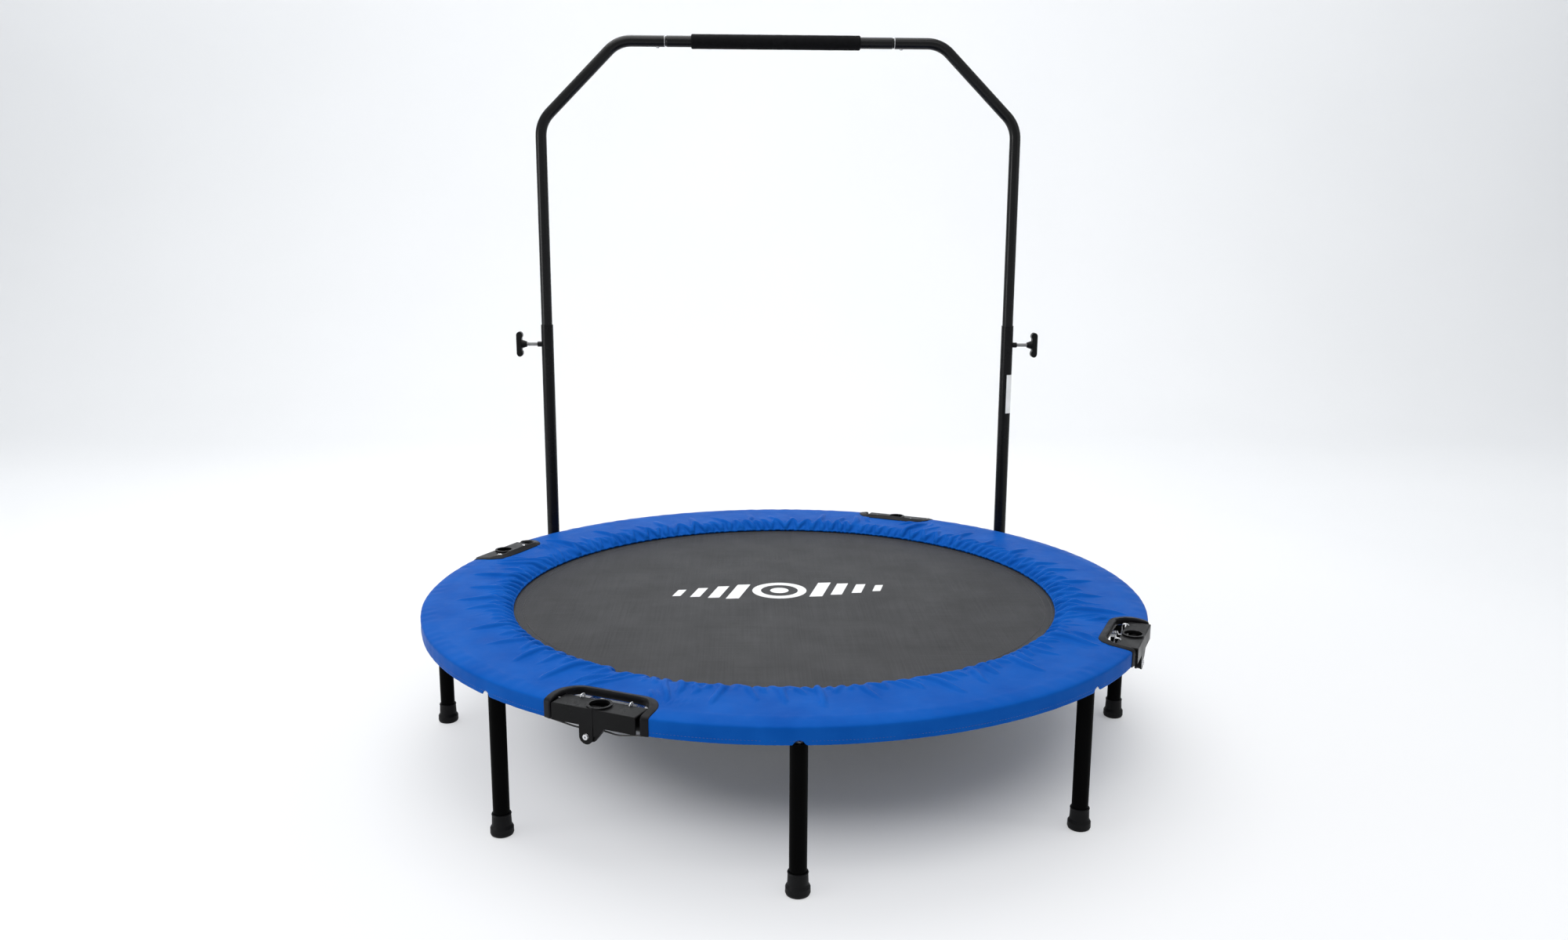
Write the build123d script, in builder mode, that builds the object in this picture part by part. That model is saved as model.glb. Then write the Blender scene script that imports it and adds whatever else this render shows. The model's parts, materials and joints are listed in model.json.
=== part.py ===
from build123d import *
from math import cos, degrees, radians, sin
import os

# Folding mini trampoline with a height-adjustable handle bar.
# Millimetres, +Z up, origin on the floor at the centre of the ring, +Y towards the handle bar.
# Angles round the ring start at the front (-Y) and grow towards the right (+X).

os.makedirs("parts", exist_ok=True)

# ------------------------------------------------------------------ driving dimensions
ring_radius = 620.0            # centre line of the frame tube
ring_z = 237.0
tube_radius = 12.5             # 25 mm tube, in the frame, the legs and the handle posts
tube_wall = 1.5
hinge_angles = (-26.0, 64.0, 154.0, 244.0)
leg_angles = (-90.0, -45.0, 0.0, 45.0, 90.0, 135.0, 180.0, 225.0)
leg_circle = 617.5
fold_angle = 64.0              # the frame folds about the line through this hinge and its opposite
quarter_gap = 0.3              # half of the play between two tube ends
half_gap = 0.3                 # half of the split in the mat, cover and guards at the fold line

mat_radius = 496.0
mat_thickness = 2.0
mat_z = 235.4                  # underside of the mat
webbing_inner = 468.0
webbing_thickness = 2.2
webbing_tab_width = 15.0       # loop of webbing round each V-ring
webbing_tab_height = 6.0
webbing_tab_end = 503.0

spring_step = 7.5
springs_per_half = 24
springs_per_quarter = 12
spring_wire = 1.2              # wire radius
hook_wire = 1.08               # wire radius of the straight runs, drawn down a little
spring_outer = 6.2             # coil radius
spring_body = (526.0, 590.0)   # from and to, along the radius
hook_loop_radius = 512.0
hook_loop = 5.0
hook_riser = 4.5               # end of the frame hook, inside the tube
plate_hook = (597.5, 607.2)    # rise and end of the hooks that go over a bracket's plate
plate_hook_top = 255.6
plate_hook_end = 247.8
plate_hook_hole = 1.8          # hole radius in the plate

v_ring_wire = 2.6
v_ring_base = (12.5, 498.2)    # half width and radius of the triangle's corners
v_ring_tip = (3.2, 511.5)
v_ring_hole_base = (8.2, 500.8)
v_ring_hole_tip = (2.4, 508.9)

cover_inner = 483.0
cover_outer = 636.0
cover_skin = 1.6               # thickness of the skirt
cover_top_z = 255.0
hem_z = 225.5
foam_inner = 497.0
foam_outer = 598.0
opening_half_width = 73.0      # hinge cut-outs in the cover
opening_inner_half_width = 56.0
opening_inner_radius = 583.0
opening_shoulder_radius = 605.0
guard_flange = 8.0
guard_wall = 1.6
guard_inner = 574.0
notch_radius = 9.0             # arch cut in the hem at each leg

bracket_length = 67.0
bracket_inner = 601.0
bracket_outer = 638.0
sheet = 2.5
bracket_bend = 2.0             # outside radius of the folded edges
bracket_top_z = 252.1
bracket_skirt_z = 227.0
plate_hole_radius = 14.5
rim_radius = 18.2
rim_height = 2.4
pin_offset = 11.5              # pin axis to the seam, round the ring
pin_z = 211.0
pin_radius = 3.0
pin_play = 0.05
lug_radius = 11.0
knuckle_radius = 10.0
inner_leaf_radius = 627.3      # inner face of the inner leaf of the lug
knuckle_span = (630.1, 635.2)

leg_bottom = 4.0
leg_top = 223.8
leg_wall = 1.2
plug_z = (203.0, 218.8)
stud_radius = 5.0
insert_radius = 6.5

foot_height = 35.0
foot_radius = 17.7

handle_half_width = 483.6
handle_y = 441.6
post_z = (60.0, 693.0)
post_inner_radius = 11.2
bar_radius = 11.1
bar_inner_radius = 9.9
bar_bottom = 540.0
bar_shoulder_z = 1100.3        # corner between the upright and the slant
bar_top_z = 1260.0
bar_top_half = 324.7           # corner between the slant and the top run
bend_radius = 64.0
socket_x = 231.0               # mouth of the side tube
neck_radius = 9.8
neck_end = 272.0
shoulder_x = 226.0
button_x = 245.0
button_radius = 3.5
adjust_holes = (652.5, 772.5, 812.5)

knob_z = 652.5
boss_radius = 5.5
boss_length = 8.0
screw_radius = 3.5
knob_hub = (42.5, 51.0)        # hub of the T-knob, from the post's axis
knob_bar_height = 52.0
knob_bar_depth = 15.0

grip_radius = 14.5
grip_ends = (-178.0, 162.0)

clamp_heights = (95.0, 180.0)
clamp_bolt_radius = 3.0

label_z = (508.0, 590.0)


# ------------------------------------------------------------------ helpers
def radial(angle):
    """Outward unit direction at an angle round the ring."""
    return Vector(sin(radians(angle)), -cos(radians(angle)), 0)


def tangent(angle):
    """Unit direction round the ring, towards larger angles."""
    return Vector(cos(radians(angle)), sin(radians(angle)), 0)


def flat(angle, z):
    """Horizontal plane: local X runs round the ring, local -Y is outward."""
    return Plane(origin=(0, 0, z), x_dir=tangent(angle), z_dir=(0, 0, 1))


def wall(angle, radius):
    """Upright plane square to the radius: local X runs round the ring, local Y is up."""
    return Plane(origin=radial(angle) * radius, x_dir=tangent(angle), z_dir=radial(angle))


def section(angle):
    """Upright plane through the ring's axis: local X is the radius, local Y is up."""
    return Plane(origin=(0, 0, 0), x_dir=radial(angle), z_dir=tangent(angle) * -1)


def half_cut(half):
    """Cutting plane of the front (-1) or rear (+1) half, which keeps its upper side."""
    normal = tangent(fold_angle) * half
    return Plane(origin=normal * half_gap, z_dir=normal)


def save(part, name):
    part.label = name
    export_step(part, f"parts/{name}.step")


halves = {"front": -1, "rear": 1}
first_spring = {"front": fold_angle - 180 + spring_step / 2, "rear": fold_angle + spring_step / 2}
first_leg = {"front": -90.0, "rear": 90.0}
quarters = {"front_right": -26.0, "rear_right": 64.0, "rear_left": 154.0, "front_left": 244.0}


# ------------------------------------------------------------------ frame tubes
def frame_tube(start):
    """A quarter of the ring, with the spring holes and the holes for the threaded inserts."""
    play = degrees(quarter_gap / ring_radius)
    with BuildPart() as tube:
        with BuildSketch(section(start + play)):
            with Locations((ring_radius, ring_z)):
                Circle(tube_radius)
                Circle(tube_radius - tube_wall, mode=Mode.SUBTRACT)
        revolve(axis=Axis.Z, revolution_arc=90 - 2 * play)
        for k in range(1, springs_per_quarter - 1):
            with BuildSketch(wall(start + spring_step * (k + 0.5), ring_radius - tube_radius - 2)):
                with Locations((0, ring_z)):
                    Circle(2 * spring_wire)
            extrude(amount=6, mode=Mode.SUBTRACT)
        for angle in leg_angles:
            if start < angle < start + 90 or start < angle + 360 < start + 90:
                with BuildSketch(flat(angle, ring_z - tube_radius - 2)):
                    with Locations((0, -leg_circle)):
                        Circle(insert_radius + 0.05)
                extrude(amount=tube_radius / 2 + 2, mode=Mode.SUBTRACT)
    return tube.part


for name, start in quarters.items():
    save(frame_tube(start), f"frame_tube_{name}")


# ------------------------------------------------------------------ hinges
def channel(angle, side):
    """Folded cap over one tube end: top plate with half of the rimmed hole, and two skirts.
    The hook of the nearest spring goes over the inner skirt and down through the plate."""
    middle = side * (quarter_gap + bracket_length) / 2
    length = bracket_length - quarter_gap
    height = bracket_top_z - bracket_skirt_z
    centre = (bracket_inner + bracket_outer) / 2
    with BuildPart() as cap:
        with BuildSketch(flat(angle, bracket_top_z - sheet)):
            with Locations((middle, -centre)):
                Rectangle(length, bracket_outer - bracket_inner)
            with Locations((0, -centre)):
                Circle(plate_hole_radius, mode=Mode.SUBTRACT)
        extrude(amount=sheet)
        with BuildSketch(flat(angle, bracket_top_z)):
            with Locations((0, -centre)):
                Circle(rim_radius)
                Circle(plate_hole_radius, mode=Mode.SUBTRACT)
            with Locations((middle, -centre)):
                Rectangle(length, 3 * rim_radius, mode=Mode.INTERSECT)
        extrude(amount=rim_height)
        for radius in (bracket_inner, bracket_outer - sheet):
            with BuildSketch(wall(angle, radius)):
                with Locations((middle, bracket_skirt_z + height / 2)):
                    Rectangle(length, height)
            extrude(amount=sheet)
        bends = [
            edge for edge in cap.edges().filter_by(GeomType.LINE)
            if edge.length > bracket_length / 2 and abs(edge.center().Z - bracket_top_z) < 0.1
        ]
        fillet(bends, radius=bracket_bend)
        with BuildSketch(flat(angle, bracket_top_z - sheet)):
            spot = radial(side * spring_step / 2) * plate_hook[1]
            with Locations((spot.X, spot.Y)):
                Circle(plate_hook_hole)
        extrude(amount=sheet, mode=Mode.SUBTRACT)
    return cap.part


def hinge_clevis(angle, side):
    """Cap with the forked lug that holds the hinge pin, on one side of the seam."""
    lug_top = bracket_skirt_z + 0.5
    bridge_z = pin_z + lug_radius - 0.3
    with BuildPart() as clevis:
        add(channel(angle, side))
        for radius, top in ((bracket_outer - sheet, lug_top), (inner_leaf_radius, bridge_z + sheet)):
            with BuildSketch(wall(angle, radius)):
                with Locations((side * pin_offset, pin_z)):
                    Circle(lug_radius)
                with Locations((side * pin_offset, (pin_z + top) / 2)):
                    Rectangle(2 * lug_radius, top - pin_z)
                with Locations((side * pin_offset, pin_z)):
                    Circle(pin_radius + pin_play, mode=Mode.SUBTRACT)
            extrude(amount=sheet)
        with BuildSketch(flat(angle, bridge_z)):
            with Locations((side * pin_offset, -(inner_leaf_radius + bracket_outer) / 2)):
                Rectangle(2 * lug_radius, bracket_outer - inner_leaf_radius)
        extrude(amount=sheet)
    return clevis.part


def hinge_knuckle(angle, side):
    """Cap with the single eye that reaches across the seam into the lug on the other side."""
    near = side * quarter_gap * 2
    pin = -side * pin_offset
    with BuildPart() as knuckle:
        add(channel(angle, side))
        with BuildSketch(wall(angle, knuckle_span[0])):
            with Locations((pin, pin_z)):
                Circle(knuckle_radius)
            Polygon(
                (pin, pin_z - knuckle_radius),
                (pin, pin_z + knuckle_radius),
                (near, pin_z + knuckle_radius),
                (near, bracket_skirt_z),
                (side * 18, bracket_skirt_z),
                (side * 9, pin_z + 4),
                (side * 1, pin_z - 6),
                align=None,
            )
            with Locations((pin, pin_z)):
                Circle(pin_radius + pin_play, mode=Mode.SUBTRACT)
        extrude(amount=knuckle_span[1] - knuckle_span[0])
        with BuildSketch(wall(angle, knuckle_span[1])):
            Polygon(
                (near, bracket_skirt_z + 0.5),
                (side * 18, bracket_skirt_z + 0.5),
                (side * 18, bracket_skirt_z),
                (side * 9, pin_z + 5),
                (near, pin_z + 2),
                align=None,
            )
        extrude(amount=bracket_outer - knuckle_span[1])
    return knuckle.part


def hinge_rivet(angle, side):
    """Tubular rivet through the lug and the eye."""
    spot = (side * pin_offset, pin_z)
    with BuildPart() as rivet:
        with BuildSketch(wall(angle, inner_leaf_radius - 2)):
            with Locations(spot):
                Circle(1.6 * pin_radius)
        extrude(amount=2)
        with BuildSketch(wall(angle, inner_leaf_radius)):
            with Locations(spot):
                Circle(pin_radius)
        extrude(amount=bracket_outer - inner_leaf_radius)
        with BuildSketch(wall(angle, bracket_outer)):
            with Locations(spot):
                Circle(1.6 * pin_radius)
        extrude(amount=2.4, taper=20)
        with BuildSketch(wall(angle, bracket_outer + 2.4)):
            with Locations(spot):
                Circle(pin_radius / 2)
        extrude(amount=-1.6, mode=Mode.SUBTRACT)
    return rivet.part


# The lugs of opposite hinges face the same way across the fold line, so their pins share an axis.
hinge_sides = {-26.0: -1, 64.0: -1, 154.0: 1, 244.0: 1}
hinge_names = {-26.0: "front_left", 64.0: "right", 154.0: "back", 244.0: "back_left"}

for angle in hinge_angles:
    lug_side = hinge_sides[angle]
    save(hinge_clevis(angle, lug_side), f"hinge_clevis_{hinge_names[angle]}")
    save(hinge_knuckle(angle, -lug_side), f"hinge_knuckle_{hinge_names[angle]}")

for name, angles in {"front": (-26.0, 64.0, 244.0), "rear": (154.0,)}.items():
    with BuildPart() as rivets:
        for angle in angles:
            add(hinge_rivet(angle, hinge_sides[angle]))
    save(rivets.part, f"hinge_rivets_{name}")


# ------------------------------------------------------------------ springs and mat rings
# Each coil is an open tube with a bar across each end, where the wire turns into a hook.
def spring(hook_corners, hook_bend):
    """One spring at angle 0, with its frame hook along corners given as (radius, height)."""
    body_from, body_to = spring_body
    with BuildPart() as coil:
        with BuildSketch(wall(0, body_from)):
            with Locations((0, ring_z)):
                Circle(spring_outer)
                Circle(spring_outer - 2 * spring_wire, mode=Mode.SUBTRACT)
        extrude(amount=body_to - body_from)
        for radius in (body_from, body_to - 2 * spring_wire):
            with BuildSketch(wall(0, radius)):
                with Locations((0, ring_z)):
                    Rectangle(2 * spring_wire, 2 * spring_outer - 2)
            extrude(amount=2 * spring_wire)
        with BuildLine(section(0)) as hook:
            FilletPolyline((body_to - 1, ring_z), *hook_corners, radius=hook_bend)
        with BuildSketch(wall(0, body_to - 1)):
            with Locations((0, ring_z)):
                Circle(hook_wire)
        sweep(path=hook.line)
        with BuildSketch(wall(0, hook_loop_radius + hook_loop)):
            with Locations((0, ring_z)):
                Circle(hook_wire)
        extrude(amount=body_from - hook_loop_radius - hook_loop + 1)
        with BuildSketch(wall(0, hook_loop_radius)):
            with Locations((0, ring_z + hook_loop)):
                Circle(spring_wire)
        revolve(axis=Axis(radial(0) * hook_loop_radius + Vector(0, 0, ring_z), tangent(0)))
    return coil.part


hook_inside = ring_radius - tube_radius + tube_wall + 3
tube_spring = spring([(hook_inside, ring_z), (hook_inside, ring_z + hook_riser)], 2.6)
plate_spring = spring(
    [(plate_hook[0], ring_z), (plate_hook[0], plate_hook_top), (plate_hook[1], plate_hook_top),
     (plate_hook[1], plate_hook_end)], 2.6)

with BuildPart() as mat_ring:
    with BuildSketch(flat(0, ring_z - v_ring_wire / 2)):
        (base, base_radius), (tip, tip_radius) = v_ring_base, v_ring_tip
        outline = Polygon(
            (-base, -base_radius), (base, -base_radius), (tip, -tip_radius), (-tip, -tip_radius),
            align=None,
        )
        fillet(outline.vertices(), radius=1.8)
        (base, base_radius), (tip, tip_radius) = v_ring_hole_base, v_ring_hole_tip
        Polygon(
            (-base, -base_radius), (base, -base_radius), (tip, -tip_radius), (-tip, -tip_radius),
            align=None, mode=Mode.SUBTRACT,
        )
    extrude(amount=v_ring_wire)

mat_rings = {}
for name in halves:
    with BuildPart() as springs:
        for k in range(springs_per_half):
            beside_hinge = k % springs_per_quarter in (0, springs_per_quarter - 1)
            with PolarLocations(0, 1, start_angle=first_spring[name] + spring_step * k):
                add(plate_spring if beside_hinge else tube_spring)
    save(springs.part, f"springs_{name}")
    with BuildPart() as rings:
        with PolarLocations(0, springs_per_half, start_angle=first_spring[name], angular_range=180):
            add(mat_ring.part)
    save(rings.part, f"mat_rings_{name}")
    mat_rings[name] = rings.part


# ------------------------------------------------------------------ mat and its edge webbing
for name, half in halves.items():
    with BuildPart() as mat:
        with BuildSketch(Plane.XY.offset(mat_z)):
            Circle(mat_radius)
        extrude(amount=mat_thickness)
        split(bisect_by=half_cut(half), keep=Keep.TOP)
    save(mat.part, f"mat_{name}_half")

    with BuildPart() as webbing:
        with BuildSketch(Plane.XY.offset(mat_z - webbing_thickness)):
            Circle(mat_radius + 1)
            Circle(webbing_inner, mode=Mode.SUBTRACT)
        extrude(amount=webbing_thickness)
        split(bisect_by=half_cut(half), keep=Keep.TOP)
        for k in range(springs_per_half):
            with BuildSketch(flat(first_spring[name] + spring_step * k, mat_z - webbing_thickness)):
                with Locations((0, -(mat_radius + 0.3 + webbing_tab_end) / 2)):
                    Rectangle(webbing_tab_width, webbing_tab_end - mat_radius - 0.3)
            extrude(amount=webbing_tab_height)
        add(mat_rings[name], mode=Mode.SUBTRACT)
    save(webbing.part, f"mat_webbing_{name}")


# ------------------------------------------------------------------ cover, foam and hinge guards
def opening_outline(grow=0.0, mode=Mode.ADD):
    """D-shaped outline of a hinge cut-out, in the flat plane of its hinge."""
    shoulder = opening_half_width + grow
    inner = opening_inner_half_width + 0.7 * grow
    depth = opening_inner_radius - grow
    Polygon(
        (-shoulder, -660), (shoulder, -660), (shoulder, -opening_shoulder_radius),
        (inner, -depth), (-inner, -depth), (-shoulder, -opening_shoulder_radius),
        align=None, mode=mode,
    )


def cut_openings(grow=0.0):
    for angle in hinge_angles:
        with BuildSketch(flat(angle, hem_z - 5)) as opening:
            opening_outline(grow)
        extrude(opening.sketch, amount=50, mode=Mode.SUBTRACT)


for name, half in halves.items():
    with BuildPart() as foam:
        with BuildSketch(section(0)):
            Polygon(
                (foam_inner, 248), (foam_inner, 252.4), (foam_outer, cover_top_z - 1.2),
                (foam_outer, 246.4), align=None,
            )
        revolve(axis=Axis.Z)
        split(bisect_by=half_cut(half).offset(2), keep=Keep.TOP)
        cut_openings(grow=3)
    save(foam.part, f"cover_foam_{name}")

    with BuildPart() as cover:
        with BuildSketch(section(0)):
            Polygon(
                (cover_inner, 241.5), (cover_inner, 246.5), (foam_inner, 253.6), (600, cover_top_z),
                (630, 251.8), (cover_outer, 249.6), (cover_outer, hem_z),
                (cover_outer - cover_skin, hem_z), (cover_outer - cover_skin, 249), (628, 250.2),
                (612, 250.2), (604, 245.3), (foam_inner + 2, 246.6), align=None,
            )
        revolve(axis=Axis.Z)
        split(bisect_by=half_cut(half), keep=Keep.TOP)
        cut_openings()
        for angle in leg_angles:
            with BuildSketch(wall(angle, cover_outer - 6)):
                with Locations((0, hem_z - 2)):
                    Circle(notch_radius)
            extrude(amount=10, mode=Mode.SUBTRACT)
        add(foam.part, mode=Mode.SUBTRACT)
    save(cover.part, f"cover_{name}_half")

    with BuildPart() as guards:
        with BuildSketch(section(0)):
            Polygon(
                (guard_inner, cover_top_z + 0.3), (600, cover_top_z + 0.3), (630, 252.1),
                (cover_outer + 0.3, 249.8), (cover_outer + 0.3, hem_z), (cover_outer + 1.8, hem_z),
                (cover_outer + 1.8, 250.8), (631, 253.6), (600, cover_top_z + 1.8),
                (guard_inner, cover_top_z + 1.8), align=None,
            )
        revolve(axis=Axis.Z)
        with BuildSketch(*[flat(angle, hem_z - 5) for angle in hinge_angles]):
            opening_outline(guard_flange)
        extrude(amount=50, mode=Mode.INTERSECT)
        cut_openings()
        for angle in hinge_angles:
            with BuildSketch(flat(angle, ring_z + tube_radius + 1)):
                opening_outline()
                opening_outline(-guard_wall, Mode.SUBTRACT)
                with Locations((0, -cover_outer - 30)):
                    Rectangle(400, 60, mode=Mode.SUBTRACT)
            extrude(amount=8)
        split(bisect_by=half_cut(half), keep=Keep.TOP)
    save(guards.part, f"hinge_guards_{name}")


# ------------------------------------------------------------------ legs, studs, inserts and feet
leg_names = dict(zip(leg_angles, (
    "left", "front_left", "front", "front_right", "right", "rear_right", "rear", "rear_left")))
right_leg = radial(135) * leg_circle
clamp_vector = Vector(handle_half_width, handle_y, 0) - right_leg
clamp_span = clamp_vector.length


def clamp_plane(z):
    """Plane square to the line from the rear right leg to its post, centred on the leg."""
    return Plane(origin=right_leg + Vector(0, 0, z), x_dir=(0, 0, 1), z_dir=clamp_vector)


def clamp_drill(radius):
    """Through holes for the clamp bolts, on the right-hand side."""
    for z in clamp_heights:
        with BuildSketch(clamp_plane(z)) as drill:
            Circle(radius)
        extrude(drill.sketch, amount=clamp_span + 30, both=True, mode=Mode.SUBTRACT)


def leg(angle):
    """Straight leg tube with a threaded plug welded into its top."""
    with BuildPart() as tube:
        with BuildSketch(flat(angle, leg_bottom)):
            with Locations((0, -leg_circle)):
                Circle(tube_radius)
                Circle(tube_radius - leg_wall, mode=Mode.SUBTRACT)
        extrude(amount=leg_top - leg_bottom)
        with BuildSketch(flat(angle, plug_z[0])):
            with Locations((0, -leg_circle)):
                Circle(tube_radius - leg_wall / 2)
                Circle(stud_radius + 0.05, mode=Mode.SUBTRACT)
        extrude(amount=plug_z[1] - plug_z[0])
        if angle == 135.0:
            clamp_drill(clamp_bolt_radius + 0.2)
    return tube.part


for angle, name in leg_names.items():
    if name == "rear_left":
        with BuildPart() as mirrored_leg:
            add(leg(135.0).mirror(Plane.YZ))
        save(mirrored_leg.part, "leg_rear_left")
    else:
        save(leg(angle), f"leg_{name}")

with BuildPart() as stud:
    with BuildSketch(flat(0, plug_z[0])):
        with Locations((0, -leg_circle)):
            Circle(stud_radius)
    extrude(amount=ring_z - 1 - plug_z[0])
    chamfer(stud.faces().sort_by(Axis.Z)[-1].edges(), length=1)

with BuildPart() as insert:
    for radius, bottom, height in ((insert_radius, ring_z - 12.5, 11.5), (8.5, ring_z - 13.1, 0.6)):
        with BuildSketch(flat(0, bottom)):
            with Locations((0, -leg_circle)):
                Circle(radius)
                Circle(stud_radius + 0.05, mode=Mode.SUBTRACT)
        extrude(amount=height)

with BuildPart() as foot:
    with BuildSketch(section(0)):
        with BuildLine():
            Polyline(
                (leg_circle, leg_bottom), (leg_circle, 0), (leg_circle + 14, 0),
                (leg_circle + 16.6, 1.6),
            )
            Polyline(
                (leg_circle + 16.6, 1.6), (leg_circle + foot_radius, 4.5),
                (leg_circle + foot_radius - 0.2, 12.5), (leg_circle + 14.9, 17),
                (leg_circle + 14.3, 32.5), (leg_circle + 14.9, 33.6), (leg_circle + 14.3, foot_height),
                (leg_circle + tube_radius + 0.05, foot_height),
                (leg_circle + tube_radius + 0.05, leg_bottom), (leg_circle, leg_bottom),
            )
        make_face()
    revolve(axis=Axis(radial(0) * leg_circle, (0, 0, 1)))

for name in halves:
    for master, node in ((stud, "leg_studs"), (insert, "frame_inserts"), (foot, "feet")):
        with BuildPart() as group:
            with PolarLocations(0, 4, start_angle=first_leg[name], angular_range=180):
                add(master.part)
        save(group.part, f"{node}_{name}")


# ------------------------------------------------------------------ handle posts and their clamps
def post_centre(side, z=0.0):
    return Vector(side * handle_half_width, handle_y, z)


def outward_plane(side, z, distance=0.0):
    """Plane facing sideways out of a post, centred on the post's axis."""
    return Plane(origin=post_centre(side, z) + Vector(side * distance, 0, 0), x_dir=(0, 1, 0),
                 z_dir=(side, 0, 0))


with BuildPart() as post:
    with BuildSketch(Plane.XY.offset(post_z[0])):
        with Locations((handle_half_width, handle_y)):
            Circle(tube_radius)
    extrude(amount=post_z[1] - post_z[0])
    with BuildSketch(outward_plane(1, knob_z)):
        Circle(boss_radius)
    extrude(amount=tube_radius + boss_length)
    with BuildSketch(Plane.XY.offset(post_z[0])):
        with Locations((handle_half_width, handle_y)):
            Circle(post_inner_radius)
    extrude(amount=post_z[1] - post_z[0], mode=Mode.SUBTRACT)
    with BuildSketch(outward_plane(1, knob_z)):
        Circle(screw_radius + pin_play)
    extrude(amount=tube_radius + boss_length, mode=Mode.SUBTRACT)
    clamp_drill(clamp_bolt_radius + 0.2)

with BuildPart() as post_left:
    add(post.part.mirror(Plane.YZ))

save(post.part, "handle_post_right")
save(post_left.part, "handle_post_left")

with BuildPart() as end_caps:
    with BuildSketch(Plane.XY.offset(post_z[0] - 3)):
        with Locations(*[post_centre(side) for side in (-1, 1)]):
            Circle(tube_radius + 1.5)
    extrude(amount=22)
    with BuildSketch(Plane.XY.offset(post_z[0])):
        with Locations(*[post_centre(side) for side in (-1, 1)]):
            Circle(tube_radius + 0.05)
    extrude(amount=22, mode=Mode.SUBTRACT)
save(end_caps.part, "post_end_caps")

with BuildPart() as spacers:
    for z in clamp_heights:
        with BuildSketch(clamp_plane(z)):
            Rectangle(24, 20)
        extrude(amount=clamp_span)
    for centre in (right_leg, post_centre(1)):
        with BuildSketch(Plane.XY.offset(50)):
            with Locations((centre.X, centre.Y)):
                Circle(tube_radius + 0.05)
        extrude(amount=160, mode=Mode.SUBTRACT)
    clamp_drill(clamp_bolt_radius + 0.2)
    mirror(about=Plane.YZ)
save(spacers.part, "post_spacers")

with BuildPart() as bolts:
    for z in clamp_heights:
        with BuildSketch(clamp_plane(z).offset(-tube_radius - 8)):
            Circle(clamp_bolt_radius)
        extrude(amount=clamp_span + 2 * tube_radius + 8)
        with BuildSketch(clamp_plane(z).offset(clamp_span + tube_radius)):
            Circle(6)
        extrude(amount=3.6, taper=15)
    mirror(about=Plane.YZ)
save(bolts.part, "post_bolts")

with BuildPart() as nuts:
    for z in clamp_heights:
        with BuildSketch(clamp_plane(z).offset(-tube_radius - 5.2)):
            RegularPolygon(radius=5, side_count=6, major_radius=False)
            Circle(clamp_bolt_radius + 0.05, mode=Mode.SUBTRACT)
        extrude(amount=5)
    mirror(about=Plane.YZ)
save(nuts.part, "post_nuts")


# ------------------------------------------------------------------ T-knobs
def t_knob(side):
    """Moulded T-knob with a round hub, seen with its bar upright."""
    hub_from, hub_to = knob_hub
    lobe = knob_bar_depth / 2
    reach = knob_bar_height / 2 - lobe
    with BuildPart() as knob:
        with BuildSketch(Plane(origin=post_centre(side, knob_z), x_dir=(side, 0, 0), z_dir=(0, -side, 0))):
            with Locations((hub_to + 6.5, reach), (hub_to + 6.5, -reach)):
                Ellipse(6.5, lobe)
            with Locations((hub_to + 7.5, 0)):
                Rectangle(11, 2 * reach)
        extrude(amount=lobe, both=True)
        fillet(knob.edges(), radius=1.4)
        with BuildSketch(outward_plane(side, knob_z, hub_from)):
            Circle(5.5)
        with BuildSketch(outward_plane(side, knob_z, hub_to + 2)):
            Circle(9)
        loft()
        with BuildSketch(outward_plane(side, knob_z, hub_from)):
            Circle(screw_radius)
        extrude(amount=14, mode=Mode.SUBTRACT)
    return knob.part


def knob_screw(side):
    """Zinc screw from the knob through the post's boss, up against the inner tube."""
    with BuildPart() as screw:
        with BuildSketch(outward_plane(side, knob_z, bar_radius + 0.1)):
            Circle(screw_radius)
        extrude(amount=knob_hub[0] + 14 - bar_radius - 0.1)
    return screw.part


for name, side in (("left", -1), ("right", 1)):
    save(t_knob(side), f"t_knob_{name}")
    save(knob_screw(side), f"knob_screw_{name}")


# ------------------------------------------------------------------ handle bar
def side_tube(side):
    """Upright, slant and top run of the handle in one bent tube."""
    with BuildPart() as tube:
        with BuildLine(Plane.XZ.offset(-handle_y)) as path:
            FilletPolyline(
                (side * handle_half_width, bar_bottom), (side * handle_half_width, bar_shoulder_z),
                (side * bar_top_half, bar_top_z), (side * socket_x, bar_top_z), radius=bend_radius,
            )
        with BuildSketch(Plane.XY.offset(bar_bottom)):
            with Locations((side * handle_half_width, handle_y)):
                Circle(bar_radius)
                Circle(bar_inner_radius, mode=Mode.SUBTRACT)
        sweep(path=path.line)
        for z in adjust_holes:
            with BuildSketch(outward_plane(side, z)):
                Circle(screw_radius + 0.3)
            extrude(amount=bar_radius + 1, mode=Mode.SUBTRACT)
        with BuildSketch(Plane.XY.offset(bar_top_z)):
            with Locations((side * button_x, handle_y)):
                Circle(button_radius + pin_play)
        extrude(amount=-bar_radius - 1, mode=Mode.SUBTRACT)
    return tube.part


def snap_button(side):
    """Domed button that locks the side tube on the centre tube, facing down."""
    with BuildPart() as button:
        with BuildSketch(Plane.XY.offset(bar_top_z - 6.5)):
            with Locations((side * button_x, handle_y)):
                Circle(button_radius)
        extrude(amount=-(bar_radius - 6.5 + 2.2))
        fillet(button.faces().sort_by(Axis.Z)[0].edges(), radius=1.8)
    return button.part


for name, side in (("left", -1), ("right", 1)):
    save(side_tube(side), f"handle_side_tube_{name}")
    save(snap_button(side), f"snap_button_{name}")

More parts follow.
